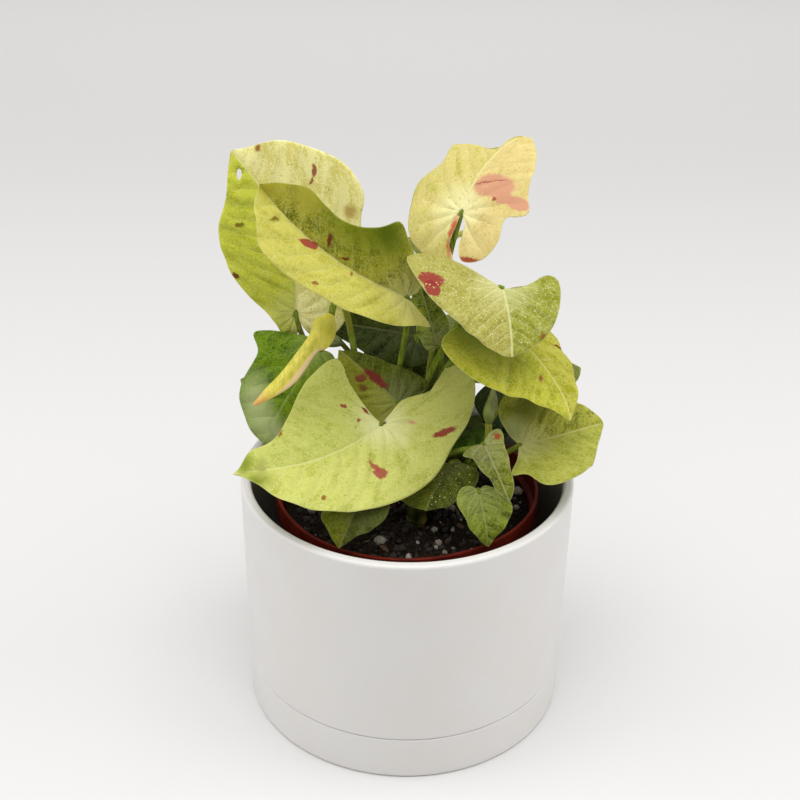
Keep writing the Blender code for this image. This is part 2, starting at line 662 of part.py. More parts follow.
def margin(points):
    """A centripetal Catmull-Rom spline through the margin's points, and the length up to each point."""
    given = np.asarray(points, float)
    ends = np.vstack([2 * given[0] - given[1], given, 2 * given[-1] - given[-2]])
    pieces = []
    for i in range(len(given) - 1):
        p0, p1, p2, p3 = ends[i : i + 4]
        t1 = math.sqrt(math.dist(p0, p1))
        t2 = t1 + math.sqrt(math.dist(p1, p2))
        t3 = t2 + math.sqrt(math.dist(p2, p3))
        t = np.linspace(t1, t2, MARGIN_STEPS, endpoint=False)[:, None]
        a1 = (t1 - t) / t1 * p0 + t / t1 * p1
        a2 = (t2 - t) / (t2 - t1) * p1 + (t - t1) / (t2 - t1) * p2
        a3 = (t3 - t) / (t3 - t2) * p2 + (t - t2) / (t3 - t2) * p3
        b1 = (t2 - t) / t2 * a1 + t / t2 * a2
        b2 = (t3 - t) / (t3 - t1) * a2 + (t - t1) / (t3 - t1) * a3
        pieces.append((t2 - t) / (t2 - t1) * b1 + (t - t1) / (t2 - t1) * b2)
    curve = np.vstack([*pieces, given[-1:]])
    steps = np.linalg.norm(np.diff(curve, axis=0), axis=1)
    return curve, np.concatenate([[0], np.cumsum(steps)])


def polar(points):
    """The direction of each point from the junction: 0 towards the tip, half a turn straight behind."""
    return np.mod(np.arctan2(points[:, 1], points[:, 0]), 2 * math.pi)


def lobe_turn(sinus, lobe):
    """The direction of the lobe's own vein: to the lobe's tip, or clear of a margin that bends inwards."""
    near = sinus[np.linalg.norm(sinus, axis=1) < VEIN_DEPTH * np.linalg.norm(lobe)]
    inmost = polar(near).min()
    straight = float(polar(lobe[None])[0])
    return straight if straight < inmost else inmost - math.radians(VEIN_CLEAR)


def half_grid(half, length, lobe_rows, rows, columns):
    """A flat half blade as a grid from its veins to its margin.

    The inner line runs out along the lobe's vein and back, then along the midrib to the tip. The outer line
    is the margin: from the junction round the lobe's tip to the shoulder, then on to the tip.
    """
    curve, lengths = margin([(0, 0), *half.edge, (length, 0)])
    edge = np.asarray(half.edge, float)
    lobe = edge[np.argmax(0.5 * edge[:, 1] - edge[:, 0])]
    lobe_at = int(np.argmin(np.linalg.norm(curve - lobe, axis=1)))
    angles = polar(curve)
    turn = lobe_turn(curve[1:lobe_at], lobe)
    lobe_at += int(np.argmax(angles[lobe_at:] <= turn))
    past = angles[lobe_at:] < SHOULDER * turn
    shoulder_at = lobe_at + int(np.argmax(past))
    stops = [0, lengths[lobe_at], lengths[shoulder_at], lengths[-1]]
    counts = [lobe_rows, lobe_rows, rows]
    spans = [np.linspace(stops[i], stops[i + 1], counts[i] + 1)[1:] for i in range(3)]
    place = np.concatenate([[0], *spans])
    outer = np.stack([np.interp(place, lengths, curve[:, axis]) for axis in range(2)], axis=1)
    out_and_back = np.concatenate([np.linspace(0, 1, lobe_rows + 1), np.linspace(1, 0, lobe_rows + 1)[1:]])
    reach = VEIN_DEPTH * np.linalg.norm(curve[lobe_at])
    vein = out_and_back[:, None] * reach * np.array([math.cos(turn), math.sin(turn)])
    rib = np.stack([np.linspace(0, length, rows + 1)[1:], np.zeros(rows)], axis=1)
    inner = np.vstack([vein, rib])
    share = np.linspace(0, 1, columns + 1)[None, :, None]
    return inner[:, None] * (1 - share) + outer[:, None] * share


def split(index, lobe_rows):
    """Two triangles for each cell of the grid, cut across the lobe's vein and never along it."""
    a, b = index[:-1, :-1], index[1:, :-1]
    c, d = index[1:, 1:], index[:-1, 1:]
    behind = [(a, b, d), (b, c, d)]
    ahead = [(a, b, c), (a, c, d)]
    faces = [np.stack(corners, axis=-1)[:lobe_rows] for corners in behind]
    faces += [np.stack(corners, axis=-1)[lobe_rows:] for corners in ahead]
    return np.vstack([part.reshape(-1, 3) for part in faces])


def blade_mesh(leaf):
    """Both halves as one sheet of triangles, with the points that they share made one."""
    frame = midrib_frame(leaf)
    large = frame["length"] > LARGE_LEAF
    lobe_rows, rows, columns = LARGE_GRID if large else SMALL_GRID
    points = []
    triangles = []
    for half, hand in ((leaf.left, 1), (leaf.right, -1)):
        grid = half_grid(half, frame["length"], lobe_rows, rows, columns)
        first = sum(map(len, points))
        points.append(bent(leaf, frame, half, grid.reshape(-1, 2), hand))
        index = first + np.arange(grid.shape[0] * grid.shape[1]).reshape(grid.shape[:2])
        faces = split(index, lobe_rows)
        triangles.append(faces if hand == 1 else faces[:, ::-1])
    points = np.vstack(points)
    faces = np.vstack(triangles)
    _, kept, index = np.unique(np.round(points, POINT_DIGITS), axis=0, return_index=True, return_inverse=True)
    faces = index.reshape(-1)[faces]
    whole = (faces[:, 0] != faces[:, 1]) & (faces[:, 1] != faces[:, 2]) & (faces[:, 0] != faces[:, 2])
    return points[kept], faces[whole].tolist()


def tube(name, stations, material, steps, free_handles=True):
    """A round tube along a Bezier curve. stations holds (point, handle before, handle after, radius) each."""
    curve = bpy.data.curves.new(name, "CURVE")
    curve.dimensions = "3D"
    curve.resolution_u = steps
    curve.bevel_depth = MM
    curve.bevel_resolution = TUBE_RESOLUTION
    curve.use_fill_caps = True
    spline = curve.splines.new("BEZIER")
    spline.bezier_points.add(len(stations) - 1)
    for knot, (point, before, after, radius) in zip(spline.bezier_points, stations):
        knot.co = np.multiply(point, MM)
        knot.radius = radius
        knot.handle_left_type = "FREE" if free_handles else "AUTO"
        knot.handle_right_type = "FREE" if free_handles else "AUTO"
        knot.handle_left = np.multiply(before, MM)
        knot.handle_right = np.multiply(after, MM)
    shape = bpy.data.objects.new(f"{name}_curve", curve)
    bpy.context.scene.collection.objects.link(shape)
    bpy.context.view_layer.update()
    mesh = bpy.data.meshes.new_from_object(shape.evaluated_get(bpy.context.evaluated_depsgraph_get()))
    mesh.materials.clear()
    mesh.materials.append(material)
    bpy.data.objects.remove(shape, do_unlink=True)
    made = bpy.data.objects.new(name, mesh)
    bpy.context.scene.collection.objects.link(made)
    weld = made.modifiers.new("weld", "WELD")
    weld.merge_threshold = MERGE
    bake(made)
    return made


def make_stalk(name, stalk, junction, material):
    """A petiole: from the blade's junction, along its two bends, down to the side of its stem."""
    start = np.array(junction, float)
    first, second = (np.array(bend, float) for bend in stalk.bends)
    turn = math.radians(stalk.side)
    reach = STEM_RADIUS + STALK_RADIUS + STALK_GAP
    (x, y), _ = STEMS[stalk.stem]
    end = np.array([x + reach * math.cos(turn), y + reach * math.sin(turn), stalk.height])
    start = start - STALK_THROUGH * unit(first - start)
    stations = [(start, start, first, STALK_RADIUS), (end, second, end, STALK_RADIUS)]
    return tube(name, stations, material, STALK_STEPS)


def make_leaf(name, leaf, material):
    """One growth: a blade with its thickness, joined to its petiole."""
    points, faces = blade_mesh(leaf)
    made = mesh_object(name, points, [], faces, material)
    thickness = made.modifiers.new("thickness", "SOLIDIFY")
    thickness.thickness = BLADE_THICKNESS * MM
    thickness.offset = 0
    bake(made)
    combine(made, [make_stalk(f"{name}_stalk", leaf.stalk, leaf.junction, material)], "UNION")


def make_roll(name, roll, material):
    """A rolled young leaf, joined to its petiole."""
    stations = [(point, point, point, radius) for point, radius in zip(roll.points, roll.radii)]
    made = tube(name, stations, material, ROLL_STEPS, free_handles=False)
    combine(made, [make_stalk(f"{name}_stalk", roll.stalk, roll.points[0], material)], "UNION")


def main():
    clear_scene()
    ceramic = surface("white_ceramic", WHITE_CERAMIC, GLAZE_ROUGHNESS)
    make_saucer(ceramic)
    make_planter(ceramic)
    make_nursery_pot(surface("red_plastic", RED_PLASTIC, PLASTIC_ROUGHNESS))
    make_soil(surface("dark_soil", DARK_SOIL, SOIL_ROUGHNESS))
    make_stems(surface("stem_green", STEM_GREEN, STEM_ROUGHNESS))
    for name, growth in GROWTHS.items():
        material = surface(name, growth.color, LEAF_ROUGHNESS)
        make = make_roll if isinstance(growth, Roll) else make_leaf
        make(name, growth, material)


main()
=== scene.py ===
import json
import math
from dataclasses import dataclass, field

import bpy
import numpy as np
from mathutils import Matrix, Vector

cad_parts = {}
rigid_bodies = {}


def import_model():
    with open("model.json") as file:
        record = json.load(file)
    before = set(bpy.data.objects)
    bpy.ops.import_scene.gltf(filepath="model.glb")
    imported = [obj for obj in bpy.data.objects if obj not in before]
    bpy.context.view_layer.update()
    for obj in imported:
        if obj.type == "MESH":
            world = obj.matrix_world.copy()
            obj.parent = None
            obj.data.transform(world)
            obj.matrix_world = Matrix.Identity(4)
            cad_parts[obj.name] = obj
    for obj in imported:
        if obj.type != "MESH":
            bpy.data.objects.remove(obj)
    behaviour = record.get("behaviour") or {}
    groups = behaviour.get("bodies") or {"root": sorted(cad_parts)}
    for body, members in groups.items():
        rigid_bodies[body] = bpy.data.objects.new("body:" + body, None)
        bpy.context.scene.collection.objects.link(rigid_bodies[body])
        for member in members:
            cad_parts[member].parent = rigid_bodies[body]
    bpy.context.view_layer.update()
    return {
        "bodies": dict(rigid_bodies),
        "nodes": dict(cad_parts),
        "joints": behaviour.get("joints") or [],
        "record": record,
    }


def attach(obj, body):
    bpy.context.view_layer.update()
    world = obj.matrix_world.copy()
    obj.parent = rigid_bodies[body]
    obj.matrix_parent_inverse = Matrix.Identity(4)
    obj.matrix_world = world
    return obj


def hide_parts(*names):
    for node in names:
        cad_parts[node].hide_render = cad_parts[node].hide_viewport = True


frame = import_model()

# The finished look of a potted syngonium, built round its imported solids. Shapes are worked out in
# millimetres, in the frame's own axes, and turned into metres as a mesh is made.

bl_info = {
    "name": "Potted syngonium",
    "version": (1, 0, 0),
    "blender": (4, 5, 0),
    "location": "3D View > Sidebar > Syngonium",
    "description": "Makes a variegated arrowhead plant in a white planter, with its soil and its stage",
    "category": "Add Mesh",
}

BODY = "root"
MM = 0.001
GAP = 0.3
TINY = 1e-9

# Planter and saucer
PLANTER_HEIGHT = 101.8
PLANTER_RIM_RADIUS = 66.5
PLANTER_BASE_RADIUS = 65.5
PLANTER_WALL = 4.1
PLANTER_FLOOR = 5.0
DRAIN_RADIUS = 6.0
SEAM_HEIGHT = 19.3
SAUCER_FLOOR = 3.6
SAUCER_WALL = 3.4
SAUCER_INSIDE = PLANTER_BASE_RADIUS - SAUCER_WALL
PLANTER_FLOOR_TOP = SAUCER_FLOOR + GAP + PLANTER_FLOOR
CERAMIC_EDGE = 1.6
SEAM_EDGE = 0.5
FOOT_RING_OUTSIDE = 60.0
FOOT_RING_STEP = 1.0
ROUND_STEPS = 224
CORNER_STEPS = 6
RUN_SHARES = (0.02, 0.2, 0.5, 0.8, 0.98)
RUN_MERGE = 0.01
AXIS_GAP = 0.5

# Nursery pot
NURSERY_RIM_RADIUS = 52.7
NURSERY_RIM_TOP = 95.9
NURSERY_RIM_BAND = 9.0
NURSERY_RIM_STEP = 1.8
NURSERY_BASE_RADIUS = 37.0
NURSERY_WALL = 1.3
NURSERY_FOOT = PLANTER_FLOOR_TOP + GAP
NURSERY_EDGE = 0.45
RIM_WAVE = 0.35
RIM_WAVES = 3
RIM_WAVE_SHIFT = 1

# Soil: its mean height, and the waves on it as (height, turns a millimetre along x and along y, shift)
SOIL_TOP = 88.0
SOIL_WAVES = [(0.9, 0.31, 0.27, 1.0), (0.7, 0.52, -0.41, 0.0), (0.45, 0.60, 0.83, 1.6)]
SOIL_FINE_WAVES = [
    (0.30, 1.7, 1.1, 0.4), (0.26, -1.3, 2.1, 2.2), (0.20, 3.1, -2.3, 0.9), (0.16, 2.7, 3.9, 4.0),
]
SOIL_FINE_EDGE = 0.4
SOIL_INMOST = 0.4
SOIL_EDGE_DROP = 1.5
SOIL_EDGE_WIDTH = 9.0
SOIL_SIDE_ROWS = 9
SOIL_RINGS = 110
SOIL_STEPS = 300
SOIL_EDGE_RADIUS = NURSERY_RIM_RADIUS - NURSERY_RIM_STEP - NURSERY_WALL - 2 * GAP

# Stems: each one's place in the pot as (x, y), and the height of its top
STEM_RADIUS = 4.2
STEM_FOOT = 76.0
STEM_DOME = 3.0
STEM_ROWS = 60
DOME_ROWS = 8
STEM_SIDES = 40
STEM_NODE_GAP = 8.0
STEM_NODE_RISE = 0.35
STEM_NODE_SPREAD = 0.5
STEM_TIP_RADIUS = 0.05
PIT_RADIUS = 4.95
PIT_EDGE = 0.25
STEMS = {
    "stem_left": ((-15, -3), 116),
    "stem_front": ((4, -14), 108),
    "stem_right": ((17, 2), 116),
    "stem_back": ((1, 15), 116),
}

# Petioles: thick at the stem, thin under the blade
STALK_RADIUS = 1.3
STALK_GAP = 0.35
STALK_THINNING = 0.25
SHEATH_RADIUS = 2.3
SHEATH_SHARE = 0.22
RIB_REACH = 0.45
RIB_END_RADIUS = 0.25
RIB_SINK = 0.32
PETIOLE_STEPS = 56
PETIOLE_SIDES = 16
RIB_STEPS = 24

# Blades: how they bend, as shares of the length, millimetres and degrees
HOOK_START = 0.7
DROOP_REACH = 22.0
CURL_SPAN = 30.0
MIDRIB_STEPS = 120
MARGIN_STEPS = 24
VEIN_DEPTH = 0.7
VEIN_CLEAR = 12.0
SHOULDER = 0.6
POINT_DIGITS = 3

# The blades' grids: rows along the lobe, rows along the midrib, columns from vein to margin
LARGE_LEAF = 40.0
LARGE_GRID = (24, 78, 30)
SMALL_GRID = (15, 42, 17)
RIM_POINTS = 800

# Relief of the blades: swells between side veins, valleys on them, a groove and a rib on the midrib
FINE_THICKNESS = 0.45
RIM_THICKNESS = 0.2
RIM_TAPER = 2.5
QUILT_HEIGHT = 0.45
MARGIN_WAVE = 0.55
WAVES_A_VEIN = 0.45
WAVE_SHIFT = 0.13
SWELL_START = 5.0
RELIEF_START = 7.0
HOLE_PULL = (0.4, 1.7)
VALLEY_DEPTH = 0.22
VALLEY_WIDTH = 0.6
GROOVE_DEPTH = 0.32
MIDRIB_RISE = 0.7
MIDRIB_WIDTH = 0.8
MIDRIB_START = (-3, 1)

# Rolled leaves: how far the wrapped edge stands out, and how far the seam winds
ROLL_STEPS = 16
ROLL_SIDES = 48
ROLL_WIND = 0.6
ROLL_OVERLAP = 0.16
ROLL_SEAM = 0.12
FLAP_WAY = (0.72, -0.35, -0.60)
FLAP_STEEP = 0.86
FLAP_OUT = 1.1
FLAP_MIDDLE = 0.62
FLAP_REACH = 0.17

# Side veins: they leave the midrib on a slope, bend to the tip, and fan out behind the junction
VEIN_GAP = 8.0
SMALL_VEIN_GAP = 5.0
VEIN_SLOPE = 0.6
VEIN_BEND = 0.012
VEIN_SHIFT = 0.35
FAN_STEP = 0.5

# The plain arrow outline, as shares of the lobe's length, its spread, the midrib's length and the half width
PLAIN_LOBE = [(-0.45, 0.25), (-1.0, 0.7), (-0.75, 1.35)]
PLAIN_SIDE = [(0.12, 1.0), (0.45, 0.8), (0.78, 0.36)]
PLAIN_SLACK = 1.02
PLAIN_FOLD = 12
PLAIN_CURL = -15
PLAIN_DROOP = 20
PLAIN_ARCH = 30
PLAIN_HOOK = 10


def paint(red, green, blue):
    """A colour given as 0 to 255 in the screen's scale, as linear red, green and blue."""
    share = np.array([red, green, blue]) / 255
    linear = np.where(share <= 0.04045, share / 12.92, ((share + 0.055) / 1.055) ** 2.4)
    return tuple(float(value) for value in linear)


# Colours of the pot, the soil and the stems
GLAZE_COLOR = paint(213, 211, 208)
GLAZE_SHADE = paint(211, 208, 205)
GLAZE_PIT = paint(200, 196, 188)
# Painted shade: the planter's inside below the rim is coloured this darker grey, up to this height
INSIDE_SHADE_COLOR = paint(150, 145, 139)
INSIDE_SHADE_TOP = 97.0
PLASTIC_COLOR = paint(104, 30, 18)
PLASTIC_DEEP = 0.62
DUST_COLOR = paint(48, 26, 16)
EARTH_COLOR = paint(24, 19, 15)
SOIL_BROWN = paint(44, 33, 24)
SOIL_FIBRE = paint(86, 64, 44)
CRUMB_LIGHT = paint(50, 38, 28)
CRUMB_DARK = paint(18, 14, 11)
PERLITE_LIGHT = paint(186, 179, 166)
PERLITE_COLOR = paint(92, 80, 67)
BARK_LIGHT = paint(96, 70, 46)
BARK_DARK = paint(44, 30, 20)
PETIOLE_LIGHT = paint(124, 140, 44)
PETIOLE_DEEP = paint(84, 104, 18)
STALK_BLUSH = paint(130, 112, 48)
STALK_DOT = paint(160, 168, 92)
STEM_LIGHT = paint(46, 54, 18)
STEM_DEEP = paint(26, 32, 10)

# Grains on the soil: smallest and largest radius, their shape along three axes, and how uneven they are
CRUMB_SIZES = (0.35, 1.9, (1.0, 0.85, 0.7), 0.7)
PERLITE_SIZES = (0.3, 2.9, (1.0, 0.8, 0.7), 0.5)
BARK_SIZES = (0.6, 3.2, (1.0, 0.45, 0.25), 0.5)
CRUMB_DULLNESS = 0.9
PERLITE_DULLNESS = 0.85
BARK_DULLNESS = 0.8
GRAIN_TRIES = 4
GRAIN_CLEAR = 0.8
GRAIN_BIAS = 2.5
GRAIN_LIFT = 0.25
GRAIN_SEED = 11
LUMP_GRID = (3, 6)

# Droplets: radius of the smallest and the largest, and how high they stand for their radius
DROP_SMALL = 0.13
DROP_LARGE = 0.42
DROP_HEIGHT = 0.62
DROP_RIM_GAP = 1.2
DROP_LIFT = 0.2
DROP_GRID = (3, 9)
DROP_TOP = 80
DROP_FOOT = (0.97, -0.25)
DROP_WAY = (0.31, 0.57, 0.76)
DROP_SEED = 40
# The drops' pale colour is a painted highlight
DROP_HIGHLIGHT_COLOR = paint(206, 208, 134)

# Skin of the leaves
SPECK_COLOR = paint(92, 112, 14)
DOT_COLOR = paint(70, 66, 18)
HEART_COLOR = paint(236, 234, 184)
HEART_START = 5.0
HEART_REACH = 15.0
UNDERSIDE = paint(176, 188, 132)
ROLL_TIP = paint(206, 156, 84)
FLAP_COLOR = paint(214, 186, 138)
LEAF_GLOW = 0.12
GLOW_RADIUS = (1.0, 1.2, 0.4)
BLOTCH_ACROSS = 1.25
BLOTCH_ALONG = 0.15
FLECK_SHARE = 1.1
MARK_COVER = 0.92
LEAF_GLOSS = 0.09

# The stage
FLOOR_NEAR = paint(214, 213, 212)
# Painted shade and painted light: the floor is a little darker behind the pot and brighter far away
FLOOR_SHADE_MIDDLE = paint(210, 209, 208)
FLOOR_LIT_BEYOND = paint(237, 236, 234)
FLOOR_START = -150
FLOOR_DIP = 600
FLOOR_FAR = 1400
FLOOR_END = 2600
FLOOR_WIDTH = 4000
FLOOR_STEPS = 25
SWEEP = 1500
AIR_COLOR = (1.0, 0.995, 0.985)
AIR_LIGHT = 0.55
TOP_LIGHT = 18
TOP_LIGHT_PLACE = (0, -300, 1500)
TOP_LIGHT_AIM = (0, 0, 100)
TOP_LIGHT_SIZE = 1400
SIDE_LIGHT = 7
SIDE_LIGHT_SIZE = 1100
SIDE_LIGHT_AIM = (0, 0, 110)
LEFT_LIGHT_PLACE = (-1300, -50, 800)
RIGHT_LIGHT_PLACE = (1300, -50, 800)
CAMERA_PLACE = (-3.2, -461.775, 385.573)
CAMERA_TILT = 61.39
CAMERA_ROLL = 0.66
CAMERA_LENS = 60.8
CAMERA_SENSOR = 36
CAMERA_NEAR = 10
CAMERA_FAR = 20000

# Colours of the marks on the leaves, as paint takes them
RED = (140, 42, 46)
DULL_RED = (146, 76, 56)
DARK_RED = (100, 32, 22)
PINK = (200, 144, 116)
TAN = (186, 156, 88)
ORANGE = (138, 88, 26)
BROWN = (112, 94, 22)
WHITISH = (160, 170, 114)
SHADE = (30, 38, 6)

# How pale the veins and the ground round the junction are on the leaves darkened by painted shade
FAINT = {"veins": 0.3, "heart": 0.15}
DIM = {"veins": 0.1, "heart": 0.05}


@dataclass
class Mark:
    """A spot: its middle on the flat leaf (x along the midrib, y to the left), size, turn, colour, edge."""

    x: float
    y: float
    length: float
    width: float
    turn: float
    color: tuple
    soft: float = 0.25


@dataclass
class Look:
    """A leaf's colours: light and deep green on each half, as paint takes them, and what lies on it.

    veins, heart: how pale the veins and the ground round the junction are, from 0 to 1.
    blotch: how much of the blade is deep, from 0 to 1. specks: how strong the specks are.
    drops: how many droplets, and where on the leaf, as (count, lowest x, highest x, lowest y, highest y).
    holes: openings as (x, y, length, width, turn).
    """

    left: tuple
    right: tuple
    veins: float = 0.4
    heart: float = 0.2
    blotch: float = 0.45
    specks: float = 0.5
    marks: list = field(default_factory=list)
    drops: tuple = None
    holes: list = field(default_factory=list)

    def __post_init__(self):
        """Makes each half's two greens linear, and adds the colour of its veins."""
        for side in ("left", "right"):
            light, deep = (paint(*color) for color in getattr(self, side))
            veins = tuple(own + (pale - own) * self.veins for own, pale in zip(light, HEART_COLOR))
            setattr(self, side, (light, deep, veins))


@dataclass
class Half:
    """One side of a blade.

    fold: slope of the half away from the midrib's plane, in degrees.
    curl: how far it turns across every CURL_SPAN of width, in degrees.
    droop: how far its lobe bends down behind the junction over DROOP_REACH, in degrees.
    edge: the margin from the junction round the lobe to the tip, as (along the midrib, out from it).
    """

    fold: float = 0
    curl: float = 0
    droop: float = 15
    edge: list = field(default_factory=list)


@dataclass
class Stalk:
    """A petiole from a stem to the blade: its stem, the side of it in degrees, the height, and two bends."""

    stem: str
    side: float
    height: float
    bends: list


@dataclass
class Leaf:
    """A blade whose midrib goes from junction to tip.

    roll: turn about the midrib. arch and sweep: bend of the midrib down and sideways, tip against junction.
    hook: extra bend down of its last part. twist: turn of the tip against the junction. All in degrees.
    """

    junction: tuple
    tip: tuple
    left: Half
    right: Half
    stalk: Stalk
    roll: float = 0
    arch: float = 0
    hook: float = 0
    sweep: float = 0
    twist: float = 0


@dataclass
class Roll:
    """A young leaf, still rolled into a spindle: its middle line and its radius at each point of it."""

    points: list
    radii: list
    stalk: Stalk


def plain_leaf(junction, tip, width, lobe, spread, stalk, roll=0):
    """A leaf with the plain arrow outline: its half width, its lobes' length and how far they stand apart."""
    length = PLAIN_SLACK * math.dist(junction, tip)
    edge = [(lobe * along, spread * out) for along, out in PLAIN_LOBE]
    edge += [(length * along, width * out) for along, out in PLAIN_SIDE]
    side = Half(PLAIN_FOLD, PLAIN_CURL, PLAIN_DROOP, edge)
    return Leaf(junction, tip, side, side, stalk, roll=roll, arch=PLAIN_ARCH, hook=PLAIN_HOOK)


